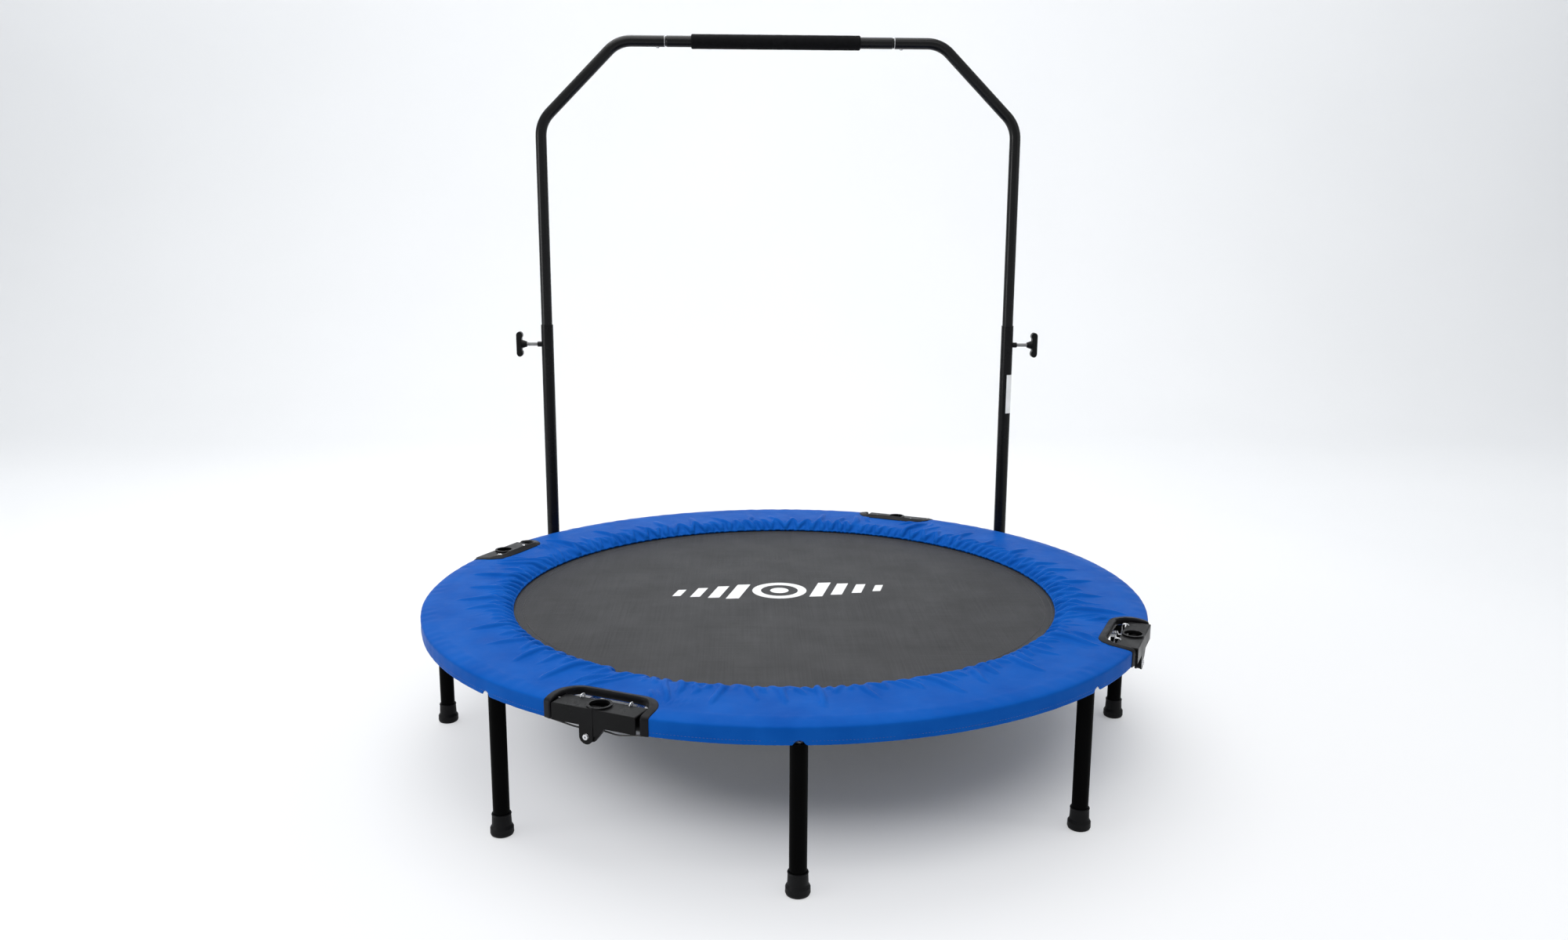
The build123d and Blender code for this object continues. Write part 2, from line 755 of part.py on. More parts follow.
bar_line = Plane(origin=(0, handle_y, bar_top_z), x_dir=(1, 0, 0), z_dir=(0, -1, 0))
with BuildPart() as centre_tube:
    with BuildSketch(bar_line):
        Polygon(
            (0, bar_inner_radius), (0, bar_radius), (shoulder_x, bar_radius),
            (shoulder_x + 2.5, neck_radius), (neck_end, neck_radius), (neck_end, neck_radius - 1.2),
            (shoulder_x, neck_radius - 1.2), (shoulder_x - 3, bar_inner_radius), align=None,
        )
    revolve(axis=Axis((0, handle_y, bar_top_z), (1, 0, 0)))
    mirror(about=Plane.YZ)
    with BuildSketch(Plane.XY.offset(bar_top_z)):
        with Locations((-button_x, handle_y), (button_x, handle_y)):
            Circle(button_radius + pin_play)
    extrude(amount=-bar_radius - 1, mode=Mode.SUBTRACT)
save(centre_tube.part, "handle_centre_tube")

with BuildPart() as grip:
    with BuildSketch(Plane(origin=(grip_ends[0], handle_y, bar_top_z), x_dir=(0, 1, 0), z_dir=(1, 0, 0))):
        Circle(grip_radius)
    extrude(amount=grip_ends[1] - grip_ends[0])
    fillet(grip.edges(), radius=2.4)
    with BuildSketch(Plane(origin=(grip_ends[0], handle_y, bar_top_z), x_dir=(0, 1, 0), z_dir=(1, 0, 0))):
        Circle(bar_radius + 0.05)
    extrude(amount=grip_ends[1] - grip_ends[0], mode=Mode.SUBTRACT)
save(grip.part, "foam_grip")


# ------------------------------------------------------------------ blank label on the right post
with BuildPart() as label:
    with BuildSketch(Plane(origin=post_centre(1), x_dir=(0, -1, 0), z_dir=(-1, 0, 0))):
        with Locations((tube_radius + 0.12, sum(label_z) / 2)):
            Rectangle(0.2, label_z[1] - label_z[0])
    revolve(axis=Axis(post_centre(1), (0, 0, 1)), revolution_arc=100)
save(label.part, "blank_label")
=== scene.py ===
import json
import math
import bpy
import numpy as np
from mathutils import Matrix, Vector


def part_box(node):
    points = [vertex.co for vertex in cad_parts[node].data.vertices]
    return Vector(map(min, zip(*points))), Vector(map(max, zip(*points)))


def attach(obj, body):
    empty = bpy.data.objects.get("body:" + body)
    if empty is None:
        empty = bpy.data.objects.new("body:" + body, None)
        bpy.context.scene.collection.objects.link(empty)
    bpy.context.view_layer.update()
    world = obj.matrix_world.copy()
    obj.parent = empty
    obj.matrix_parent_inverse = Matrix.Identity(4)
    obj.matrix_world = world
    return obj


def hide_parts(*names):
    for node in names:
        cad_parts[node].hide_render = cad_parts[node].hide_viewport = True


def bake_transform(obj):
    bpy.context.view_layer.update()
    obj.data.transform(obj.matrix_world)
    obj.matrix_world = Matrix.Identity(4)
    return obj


# Looks of the mini trampoline, in metres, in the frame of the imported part.
# Angles round the ring start at the front (-Y) and grow towards the right (+X), as in part.py.

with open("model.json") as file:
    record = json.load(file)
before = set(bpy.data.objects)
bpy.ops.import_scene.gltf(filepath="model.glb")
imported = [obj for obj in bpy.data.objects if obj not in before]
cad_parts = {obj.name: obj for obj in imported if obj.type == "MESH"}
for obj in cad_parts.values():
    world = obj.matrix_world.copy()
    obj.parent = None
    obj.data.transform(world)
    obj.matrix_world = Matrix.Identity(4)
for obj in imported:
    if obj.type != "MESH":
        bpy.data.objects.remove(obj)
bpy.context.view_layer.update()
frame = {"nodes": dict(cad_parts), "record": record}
nodes = frame["nodes"]

tube_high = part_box("frame_tube_rear_right")[1]
cover_low, cover_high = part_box("cover_rear_half")
foam_low, foam_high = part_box("cover_foam_rear")
mat_low, mat_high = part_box("mat_rear_half")
webbing_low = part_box("mat_webbing_rear")[0]
grip_low, grip_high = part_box("foam_grip")
side_tube_low, side_tube_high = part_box("handle_side_tube_right")
bar_y, bar_z = (grip_low.y + grip_high.y) / 2, (grip_low.z + grip_high.z) / 2
handle_radius = side_tube_high.z - bar_z

tube_radius = 0.0125
ring_z = tube_high.z - tube_radius
ring_radius = tube_high.x - tube_radius
cover_outer = cover_high.x
hem_z = cover_low.z
mat_radius = mat_high.y

# ---- driving dimensions
hinge_angles = (-26.0, 64.0, 154.0, 244.0)
fold_hinges = (64.0, 244.0)
leg_angles = (-90.0, -45.0, 0.0, 45.0, 90.0, 135.0, 180.0, 225.0)
leg_notch_radius = 0.0091       # notches in the skirt over the legs
leg_notch_top = 0.2345
spring_step = 7.5
springs_per_half = 24
spring_count = 2 * springs_per_half
first_spring = {"front": 64.0 - 180 + spring_step / 2, "rear": 64.0 + spring_step / 2}
spring_angles = {half: [first + spring_step * k for k in range(springs_per_half)]
                 for half, first in first_spring.items()}

cover_inner = 0.4838
foam_inner = 0.4975
opening_half = 0.073            # hinge cut-outs in the cover, as in part.py
shoulder_half = 0.056
shoulder_radius = 0.583
opening_radius = 0.605
flank_columns = 5               # mesh columns in each flank and shoulder of an opening
shoulder_columns = 50
opening_columns = 2 * flank_columns + shoulder_columns
arc_columns = 324               # and between two openings
top_rows = 38
sleeve_thickness = 0.0006
skirt_radius = 0.6361
cloth_unroll = 0.56             # radius at which the cover's UV is laid out flat

coil_radius = 0.005             # centre line of the spring wire
wire_radius = 0.0012
drawn_radius = wire_radius * 0.97
ring_wire_radius = 0.0013
elastic_radius = 0.0013
coil_from, coil_to = 0.5272, 0.5888
hook_loop_radius = 0.512
hook_loop = 0.005
plate_hook_rise = 0.5975        # hooks that go over a bracket's plate
plate_hook_top = 0.2556
plate_hook_end = (0.6072, 0.2479)

mat_pitch = 0.0011              # thread pitch of the mat
stitch_radii = (0.4655, 0.4775)
hem_stitch_rise = 0.0062
cover_bend = (0.030,)           # half width and shift of the bend at the fold
mat_bend = (0.019, -0.003)

seed = 11


# ---- mesh helpers
def radial(angle):
    a = math.radians(angle)
    return np.array((math.sin(a), -math.cos(a), 0.0))


def tangent(angle):
    a = math.radians(angle)
    return np.array((math.cos(a), math.sin(a), 0.0))


def place(angle, around, out, up):
    """Points given by distance round the ring, distance out and height, at a hinge or spring."""
    around, out, up = np.broadcast_arrays(*(np.asarray(v, float) for v in (around, out, up)))
    return (around[..., None] * tangent(angle) + out[..., None] * radial(angle)
            + up[..., None] * np.array((0, 0, 1.0)))


def polar(angles, radii, heights):
    """Points from angles in degrees, radii and heights that broadcast together."""
    a, r, z = np.broadcast_arrays(np.radians(angles), radii, heights)
    return np.stack((r * np.sin(a), -r * np.cos(a), z), axis=-1)


def grid_faces(rows, columns, wrap_rows=False, wrap_columns=False, offset=0):
    """Quads of a grid of points numbered row by row."""
    i = np.arange(rows if wrap_rows else rows - 1)[:, None]
    j = np.arange(columns if wrap_columns else columns - 1)[None, :]
    i2, j2 = (i + 1) % rows, (j + 1) % columns
    quads = np.stack((i * columns + j, i * columns + j2, i2 * columns + j2, i2 * columns + j), -1)
    return quads.reshape(-1, 4) + offset


def end_caps(rows, columns):
    """Faces that close the two ends of a tube of points numbered row by row."""
    return [tuple(range(columns))[::-1], tuple(range((rows - 1) * columns, rows * columns))]


def circle(count):
    """Turns round a circle, in radians."""
    return np.linspace(0, 2 * math.pi, count, endpoint=False)


def merge(parts):
    """Several (points, faces) as one."""
    points, faces, count = [], [], 0
    for p, f in parts:
        points.append(np.asarray(p, float).reshape(-1, 3))
        faces += [tuple(int(v) + count for v in face) for face in f]
        count += len(points[-1])
    return np.concatenate(points), faces


def add_object(name, data):
    made = bpy.data.objects.new(name, data)
    bpy.context.scene.collection.objects.link(made)
    return made


def smooth_mesh(name, points, faces):
    mesh = bpy.data.meshes.new(name)
    faces = [tuple(int(v) for v in f) for f in faces]
    mesh.from_pydata(np.asarray(points, float).reshape(-1, 3).tolist(), [], faces)
    mesh.polygons.foreach_set("use_smooth", [True] * len(mesh.polygons))
    return mesh


def piece(name, points, faces, slot, material=None, uv=None):
    """A mesh object with the material of a record slot or another, and one UV per point."""
    mesh = smooth_mesh(name, points, faces)
    if uv is not None:
        layer = mesh.uv_layers.new(name="cloth")
        corner = np.zeros(len(mesh.loops), np.int32)
        mesh.loops.foreach_get("vertex_index", corner)
        layer.data.foreach_set("uv", np.asarray(uv, np.float32).reshape(-1, 2)[corner].ravel())
    mesh.validate()
    mesh.materials.append(material or slot_materials[slot])
    made = add_object(name, mesh)
    return made


def finish_modifiers(made):
    """Applies the modifiers of a piece to its mesh."""
    graph = bpy.context.evaluated_depsgraph_get()
    graph.update()
    made.data = bpy.data.meshes.new_from_object(made.evaluated_get(graph))
    made.modifiers.clear()


def thicken(made, thickness):
    """Gives a sheet its thickness, inwards, and closes its edges."""
    solid = made.modifiers.new("thickness", "SOLIDIFY")
    solid.thickness = thickness
    solid.offset = -1
    solid.use_rim = True
    finish_modifiers(made)


def wire(path, radius, sides=8, closed=False):
    """A round wire along a path, with its frame carried from point to point without twist."""
    path = np.asarray(path, float)
    along = (np.roll(path, -1, 0) - np.roll(path, 1, 0)) if closed else np.gradient(path, axis=0)
    along /= np.linalg.norm(along, axis=1)[:, None]
    side = np.zeros_like(path)
    first = np.cross(along[0], (0.31, 0.17, 0.93))
    side[0] = first / np.linalg.norm(first)
    for k in range(1, len(path)):
        carried = side[k - 1] - along[k] * (side[k - 1] @ along[k])
        side[k] = carried / np.linalg.norm(carried)
    high = np.cross(along, side)
    turn = circle(sides)
    radius = np.broadcast_to(radius, len(path))
    points = path[:, None] + radius[:, None, None] * (
        np.cos(turn)[None, :, None] * side[:, None] + np.sin(turn)[None, :, None] * high[:, None])
    faces = list(grid_faces(len(path), sides, wrap_rows=closed, wrap_columns=True))
    if not closed:
        faces += end_caps(len(path), sides)
    return points.reshape(-1, 3), faces


def turned(shape, angle):
    """A (points, faces) shape turned about the ring's axis."""
    points, faces = shape
    c, s = math.cos(math.radians(angle)), math.sin(math.radians(angle))
    return points @ np.array(((c, s, 0), (-s, c, 0), (0, 0, 1.0))), faces


def lengths_along(path):
    """Length along a path at each of its points."""
    return np.concatenate(([0], np.cumsum(np.linalg.norm(np.diff(path, axis=0), axis=1))))


def corner_curve(a, b, c, cut, shares):
    """Points of a short curve that rounds the corner at b, between a and c."""
    start = b + (a - b) / np.linalg.norm(a - b) * cut
    end = b + (c - b) / np.linalg.norm(c - b) * cut
    return [(1 - t) ** 2 * start + 2 * t * (1 - t) * b + t ** 2 * end for t in shares]


def waves(angles, lowest, highest, count, rng):
    """A smooth random curve round the ring, about -1 to 1, from waves of whole periods."""
    a = np.radians(angles)
    total = np.zeros_like(a)
    for k in rng.integers(lowest, highest, count):
        total += np.cos(k * a + rng.uniform(0, 2 * math.pi)) * rng.uniform(0.5, 1)
    return total / math.sqrt(count)


def follow_fold(made, half_width, shift=0.0):
    """Bakes a piece's placement into its mesh."""
    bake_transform(made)


# ---- material helpers
def sockets_of(made):
    return made.node_tree.nodes["Principled BSDF"].inputs


def new_material(name, color, roughness, metallic=0.0, **sockets):
    made = bpy.data.materials.new(name)
    made.use_nodes = True
    sockets = {"Base_Color": (*color, 1), "Roughness": roughness, "Metallic": metallic, **sockets}
    for socket, value in sockets.items():
        sockets_of(made)[socket.replace("_", " ")].default_value = value
    return made


def node(made, kind, inputs=None, **settings):
    """A node with its settings, and its inputs set to values or linked to sockets."""
    n = made.node_tree.nodes.new(kind)
    for key, value in settings.items():
        setattr(n, key, value)
    for key, value in (inputs or {}).items():
        if isinstance(value, bpy.types.NodeSocket):
            made.node_tree.links.new(value, n.inputs[key])
        else:
            n.inputs[key].default_value = value
    return n


def link(made, output, socket):
    made.node_tree.links.new(output, sockets_of(made)[socket])


def coordinates(made, uv=None):
    if uv:
        return node(made, "ShaderNodeUVMap", uv_map=uv).outputs["UV"]
    return node(made, "ShaderNodeTexCoord").outputs["Object"]


def noise(made, at, scale, detail):
    return node(made, "ShaderNodeTexNoise",
                {"Vector": at, "Scale": scale, "Detail": detail}).outputs["Fac"]


def spread(made, value, low, high, from_low=0.3, from_high=0.7, **settings):
    """A value from 0 to 1 spread over another range."""
    return node(made, "ShaderNodeMapRange",
                {"Value": value, "From Min": from_low, "From Max": from_high,
                 "To Min": low, "To Max": high}, **settings).outputs["Result"]


def tint(made, value, dark, light):
    """Mixes two colours by a value and sends them to the shader's base colour."""
    mix = node(made, "ShaderNodeMix", {"Factor": value}, data_type="RGBA")
    mix.inputs["A"].default_value = (*dark, 1)
    mix.inputs["B"].default_value = (*light, 1)
    link(made, mix.outputs["Result"], "Base Color")
    return mix


def bump(made, layers):
    """Bump from several (height, strength, distance) layers, one on top of another."""
    normal = None
    for height, strength, distance in layers:
        inputs = {"Height": height, "Strength": strength, "Distance": distance}
        if normal is not None:
            inputs["Normal"] = normal
        normal = node(made, "ShaderNodeBump", inputs).outputs["Normal"]
    link(made, normal, "Normal")


def math_node(made, operation, a, b=0.0):
    return node(made, "ShaderNodeMath", {0: a, 1: b}, operation=operation).outputs[0]


def shade(color, factor):
    return tuple(min(1, c * factor) for c in color)


def cloudy_roughness(made, at, scale, detail, low, high):
    """Soft patches of duller and shinier surface."""
    link(made, spread(made, noise(made, at, scale, detail), low, high), "Roughness")


def cloudy_tint(made, at, scale, detail, dark, light, **limits):
    """Soft patches of two colours."""
    return tint(made, spread(made, noise(made, at, scale, detail), 0, 1, **limits), dark, light)


def weave(made, at, pitch):
    """Height of a plain weave of that thread pitch, from 0 to 1."""
    split = node(made, "ShaderNodeSeparateXYZ", {"Vector": at})
    turns = 2 * math.pi / (2 * pitch)
    x = math_node(made, "SINE", math_node(made, "MULTIPLY", split.outputs["X"], turns))
    y = math_node(made, "SINE", math_node(made, "MULTIPLY", split.outputs["Y"], turns))
    return spread(made, math_node(made, "MULTIPLY", x, y), 0, 1, -1, 1)


# ---- materials
def powder_coat(name, level, roughness, ior):
    """Satin black powder coat: fine orange peel and faint dull patches."""
    made = new_material(name, (level, level, level * 1.08), roughness, IOR=ior)
    at = coordinates(made)
    cloudy_roughness(made, at, 26, 4, roughness - 0.06, roughness + 0.08)
    cloudy_tint(made, at, 9, 2, (level * 0.8,) * 3, (level * 1.3, level * 1.3, level * 1.4))
    bump(made, [(noise(made, at, 900, 2), 0.12, 0.0004), (noise(made, at, 90, 2), 0.05, 0.0006)])
    return made


def bare_metal(name, color, roughness, grain):
    """Zinc or nickel plate with fine wear and cloudy patches."""
    made = new_material(name, color, roughness, metallic=1.0)
    at = coordinates(made)
    cloudy_roughness(made, at, 160, 5, roughness - 0.08, roughness + 0.16)
    cloudy_tint(made, at, 70, 4, shade(color, 0.72), color)
    bump(made, [(noise(made, at, grain, 4), 0.15, 0.0002)])
    return made


def screw_thread():
    """Zinc plated screw with a thread along X, and painted shade in the thread's valleys."""
    made = new_material("screw_plate", (0.5, 0.5, 0.5), 0.34, metallic=1.0)
    split = node(made, "ShaderNodeSeparateXYZ", {"Vector": coordinates(made)})
    thread_pitch = 0.00125
    along = math_node(made, "MULTIPLY", split.outputs["X"], 2 * math.pi / thread_pitch)
    ridge = spread(made, math_node(made, "SINE", along), 0, 1, -1, 1)
    # painted shade: the thread's valleys are coloured darker than its crests
    tint(made, ridge, (0.20, 0.20, 0.20), (0.55, 0.55, 0.55))
    bump(made, [(ridge, 0.8, 0.0006)])
    return made


def moulded(name, color, roughness, grain=1500, strength=0.25):
    """Moulded plastic, rubber or vinyl with a fine grain."""
    made = new_material(name, color, roughness, IOR=1.2)
    at = coordinates(made)
    cloudy_roughness(made, at, 55, 4, roughness - 0.06, roughness + 0.08)
    cloudy_tint(made, at, 35, 3, shade(color, 0.8), shade(color, 1.25))
    bump(made, [(noise(made, at, grain, 2), strength, 0.0003), (noise(made, at, 120, 2), 0.1, 0.0005)])
    return made


def nylon():
    """Royal blue satin nylon: fine plain weave, sheen, and soft light and dark patches."""
    made = new_material("cover_nylon", (0.003, 0.075, 0.36), 0.4, IOR=1.07, Sheen_Weight=0.02,
                        Sheen_Roughness=0.4, Sheen_Tint=(0.5, 0.7, 1, 1))
    at = coordinates(made, "cloth")
    cloudy_roughness(made, at, 30, 4, 0.34, 0.46)
    cloudy_tint(made, at, 14, 4, (0.002, 0.067, 0.33), (0.005, 0.088, 0.39))
    bump(made, [(weave(made, at, 0.0006), 0.25, 0.00015), (noise(made, at, 60, 3), 0.25, 0.0012)])
    return made


def mat_cloth():
    """Dark grey woven polypropylene with faint streaks along and across the weave."""
    made = new_material("mat_cloth", (0.04, 0.04, 0.042), 0.5, IOR=1.2)
    at = coordinates(made, "cloth")
    along = node(made, "ShaderNodeMapping", {"Vector": at, "Scale": (6, 420, 1)}).outputs["Vector"]
    over = node(made, "ShaderNodeMapping", {"Vector": at, "Scale": (420, 6, 1)}).outputs["Vector"]
    threads = math_node(made, "ADD", noise(made, along, 1, 2), noise(made, over, 1, 2))
    tint(made, spread(made, threads, 0, 1, 0.75, 1.25), (0.030, 0.030, 0.031), (0.043, 0.043, 0.045))
    cloudy_roughness(made, at, 9, 4, 0.44, 0.56)
    bump(made, [(weave(made, at, mat_pitch), 0.5, 0.0003), (threads, 0.3, 0.0003)])
    return made


def webbing_cloth():
    made = new_material("webbing_cloth", (0.02, 0.02, 0.022), 0.7, IOR=1.3, Sheen_Weight=0.05)
    at = coordinates(made)
    cloudy_tint(made, at, 300, 3, (0.012, 0.012, 0.013), (0.035, 0.035, 0.037))
    bump(made, [(weave(made, at, 0.0012), 0.7, 0.0005)])
    return made


def closed_cell_foam(name, color, roughness=0.8):
    made = new_material(name, color, roughness, IOR=1.15)
    at = coordinates(made)
    cells = node(made, "ShaderNodeTexVoronoi", {"Vector": at, "Scale": 900.0}).outputs["Distance"]
    cloudy_tint(made, at, 120, 3, shade(color, 0.8), shade(color, 1.2))
    cloudy_roughness(made, at, 200, 3, roughness - 0.1, roughness + 0.08)
    bump(made, [(cells, 0.4, 0.0003), (noise(made, at, 60, 3), 0.2, 0.0008)])
    return made


def plain_film():
    made = new_material("label_film", (0.86, 0.86, 0.85), 0.35, Coat_Weight=0.3, Coat_Roughness=0.2)
    at = coordinates(made)
    cloudy_tint(made, at, 40, 3, (0.78, 0.78, 0.76), (0.9, 0.9, 0.89))
    bump(made, [(noise(made, at, 90, 3), 0.2, 0.0004)])
    return made


def print_ink():
    """White screen print that lets the weave through."""
    made = new_material("print_ink", (0.82, 0.82, 0.82), 0.6)
    at = coordinates(made, "cloth")
    cloudy_tint(made, at, 500, 3, (0.62,) * 3, (0.9,) * 3, from_low=0.35, from_high=0.6)
    bump(made, [(weave(made, at, mat_pitch), 0.5, 0.0003)])
    return made


def thread(name, color):
    made = new_material(name, color, 0.6, Sheen_Weight=0.3)
    at = coordinates(made)
    cloudy_tint(made, at, 1200, 2, shade(color, 0.6), color)
    bump(made, [(noise(made, at, 2500, 1), 0.4, 0.0002)])
    return made


slot_materials = {
    "frame_tube": powder_coat("frame_coat", 0.0025, 0.36, 1.16),
    "leg_tube": powder_coat("leg_coat", 0.0018, 0.36, 1.07),
    "post_tube": powder_coat("post_coat", 0.004, 0.28, 1.24),
    "handle_tube": powder_coat("handle_coat", 0.004, 0.26, 1.3),
    "hinge_steel": powder_coat("hinge_coat", 0.004, 0.32, 1.2),
    "zinc": bare_metal("zinc_plate", (0.72, 0.72, 0.74), 0.3, 600),
    "spring_steel": bare_metal("spring_plate", (0.78, 0.79, 0.81), 0.22, 900),
    "button_steel": bare_metal("button_plate", (0.5, 0.5, 0.51), 0.3, 900),
    "guard_vinyl": moulded("guard_vinyl", (0.006, 0.006, 0.007), 0.42, 700, 0.2),
    "webbing": webbing_cloth(),
    "mat_fabric": mat_cloth(),
    "foam": closed_cell_foam("pad_foam", (0.7, 0.7, 0.66)),
    "cover_fabric": nylon(),
    "foot_rubber": moulded("foot_rubber", (0.005, 0.005, 0.0055), 0.5, 900, 0.3),
    "end_cap": moulded("cap_plastic", (0.015, 0.015, 0.015), 0.5),
    "spacer_plastic": moulded("spacer_plastic", (0.015, 0.015, 0.015), 0.5),
    "grip_foam": closed_cell_foam("grip_foam", (0.0045, 0.0045, 0.005), 0.72),
    "knob_plastic": moulded("knob_plastic", (0.006, 0.006, 0.006), 0.38, 1100, 0.3),
    "label": plain_film(),
}
cad_materials = {part["node"]: slot_materials[part["material_slot"]] for part in frame["record"]["subparts"]}
cad_materials["knob_screw_left"] = cad_materials["knob_screw_right"] = screw_thread()
for name, material in cad_materials.items():
    nodes[name].data.materials.clear()
    nodes[name].data.materials.append(material)

ink = print_ink()
blue_thread = thread("blue_thread", (0.01, 0.06, 0.3))
black_thread = thread("black_thread", (0.03, 0.03, 0.03))


# ---- layout of the cover round the ring
corner_angle = math.degrees(math.atan2(opening_half, opening_radius))
shoulder_angle = math.degrees(math.atan2(shoulder_half, shoulder_radius))
junction = math.hypot(opening_half, opening_radius)


def cover_columns():
    """Angle of each column of the cover, and its angle from the hinge, or None between openings."""
    angles, inside = [], []
    for hinge in hinge_angles:
        local = np.concatenate((
            np.linspace(-corner_angle, -shoulder_angle, flank_columns, endpoint=False),
            np.linspace(-shoulder_angle, shoulder_angle, shoulder_columns, endpoint=False),
            np.linspace(shoulder_angle, corner_angle, flank_columns, endpoint=False)))
        arc = np.linspace(corner_angle, 90 - corner_angle, arc_columns, endpoint=False)
        angles += list(hinge + local) + list(hinge + arc)
        inside += list(local) + [None] * len(arc)
    return np.array(angles), inside


def edge_radius(local):
    """Radius at which the cover's top ends, for an angle from the hinge, or None between openings."""
    if local is None:
        return junction
    off = abs(math.radians(local))
    if abs(local) <= shoulder_angle:
        return shoulder_radius / math.cos(off)
    slope = (opening_radius - shoulder_radius) / (opening_half - shoulder_half)
    return (shoulder_radius - slope * shoulder_half) / (math.cos(off) - slope * math.sin(off))


column_angle, column_inside = cover_columns()
column_edge = np.array([edge_radius(local) for local in column_inside])
columns = len(column_angle)
skin_profile = np.array((
    (0.4838, 0.2418), (0.487, 0.2455), (0.4925, 0.2497), (0.500, 0.2530), (0.512, 0.2544),
    (0.560, 0.2549), (0.600, 0.2551), (0.612, 0.2545), (0.625, 0.2531), (0.634, 0.2515)))


def skin_height(radius):
    return np.interp(radius, skin_profile[:, 0], skin_profile[:, 1])


# ---- gathers of the cover, by cloth simulation
def settle(start, around, inward, floor, ceiling, steps, rng):
    """Position based cloth on a grid closed round the ring. The outer row is held, the inner row
    keeps its radius as elastic does, and the cloth rests on the foam beneath."""
    carried_on, fall, passes = 0.9, 0.00002, 6
    p = start.copy()
    p[1:-1, :, 2] += rng.normal(0, 0.0001, p[1:-1, :, 2].shape)
    before = p.copy()
    inner = np.hypot(start[0, :, 0], start[0, :, 1])
    slant = np.sqrt((0.5 * (around[:-1] + around[1:])) ** 2 + inward ** 2)
    links = (
        ((0, 1), around, 0.36), ((1, 0), inward, 0.36),
        ((1, 1), slant, 0.12), ((1, -1), slant, 0.12),
        ((0, 2), around + np.roll(around, -1, 1), 0.10),
        ((0, 4), sum(np.roll(around, -k, 1) for k in range(4)), 0.06),
        ((2, 0), inward[:-1] + inward[1:], 0.12), ((4, 0), sum(
            inward[k:len(inward) - 3 + k] for k in range(4)), 0.08),
    )
    for _ in range(steps):
        speed = (p - before) * carried_on
        before = p.copy()
        p = p + speed
        p[:, :, 2] -= fall
        for _ in range(passes):
            move = np.zeros_like(p)
            for (down, across), rest, strength in links:
                a = p[:len(p) - down]
                b = np.roll(p[down:], -across, 1)
                d = b - a
                length = np.linalg.norm(d, axis=2)
                d *= (strength * 0.5 * (length - rest) / np.maximum(length, 1e-9))[..., None]
                move[:len(p) - down] += d
                move[down:] -= np.roll(d, across, 1)
            p += move
            p[-1] = start[-1]
            keep = inner / np.hypot(p[0, :, 0], p[0, :, 1])
            p[0, :, 0] *= keep
            p[0, :, 1] *= keep
            p[:, :, 2] = np.clip(p[:, :, 2], floor, ceiling)
    return p


def creases(share, lowest, highest, count, rng):
    """Random waves round the ring whose crests lean sideways as they run outwards."""
    total = np.zeros((len(share), columns))
    for k in rng.integers(lowest, highest, count):
        lean = rng.uniform(-0.10, 0.10)
        phase = np.radians(column_angle)[None, :] + lean * share
        total += np.cos(k * phase + rng.uniform(0, 2 * math.pi)) * rng.uniform(0.5, 1)
    return total / math.sqrt(count)


def room_by_guards(radii):
    """From 0 under the guards' flanges to 1 well away from the hinge openings."""
    room = np.ones_like(radii)
    for hinge in hinge_angles:
        off = np.radians((column_angle[None, :] - hinge + 180) % 360 - 180)
        aside = np.maximum(np.abs(radii * np.sin(off)) - opening_half, 0)
        within = np.maximum(shoulder_radius - radii * np.cos(off), 0)
        room = np.minimum(room, np.clip((np.hypot(aside, within) - 0.009) / 0.03, 0.02, 1))
    return room


def gathered_top():
    """The cover's top from its elastic edge to the junction ring or the opening's edge."""
    rng = np.random.default_rng(seed)
    share = (np.arange(top_rows) / (top_rows - 1))[:, None] ** 1.12
    radii = cover_inner + share * (column_edge[None, :] - cover_inner)
    start = polar(column_angle[None, :], radii, skin_height(radii))
    gap = np.linalg.norm(np.roll(start, -1, 1) - start, axis=2)
    fade = np.clip(1 - share * 1.05, 0, 1)
    uneven = 1 + 0.45 * waves(column_angle, 5, 40, 9, rng)[None, :]
    edge_excess, top_excess, least_excess, inward_excess = 0.20, 0.095, 0.008, 1.008
    excess = ((edge_excess * fade ** 8 + top_excess * fade ** 1.4) * uneven
              + least_excess * np.clip(1 - share, 0, 1))
    inward = np.linalg.norm(start[1:] - start[:-1], axis=2) * inward_excess
    foam_edge = foam_high.z + sleeve_thickness
    floor = np.interp(radii, (cover_inner, foam_inner, foam_inner + 0.007), (0.2413, 0.2496, foam_edge))
    floor = np.minimum(floor, skin_height(radii))
    room = np.minimum(room_by_guards(radii), np.clip((junction + 0.004 - radii) / 0.06, 0.02, 1))
    held = np.interp(radii, (cover_inner, cover_inner + 0.004, cover_inner + 0.018), (0.10, 0.30, 1))
    tallest_fold, broad_fold, fine_fold = 0.0075, 0.0034, 0.0014
    ceiling = skin_height(radii) + tallest_fold * room * held
    broad = creases(share, 34, 90, 16, rng)
    fine = creases(share, 220, 340, 12, rng)
    start[..., 2] += (broad_fold * broad * fade + fine_fold * fine * fade ** 6) * room * held
    start[-1, :, 2] = skin_height(radii)[-1]
    steps = 75
    return settle(start, gap * (1 + excess), inward, floor, ceiling, steps, rng)


top = gathered_top()


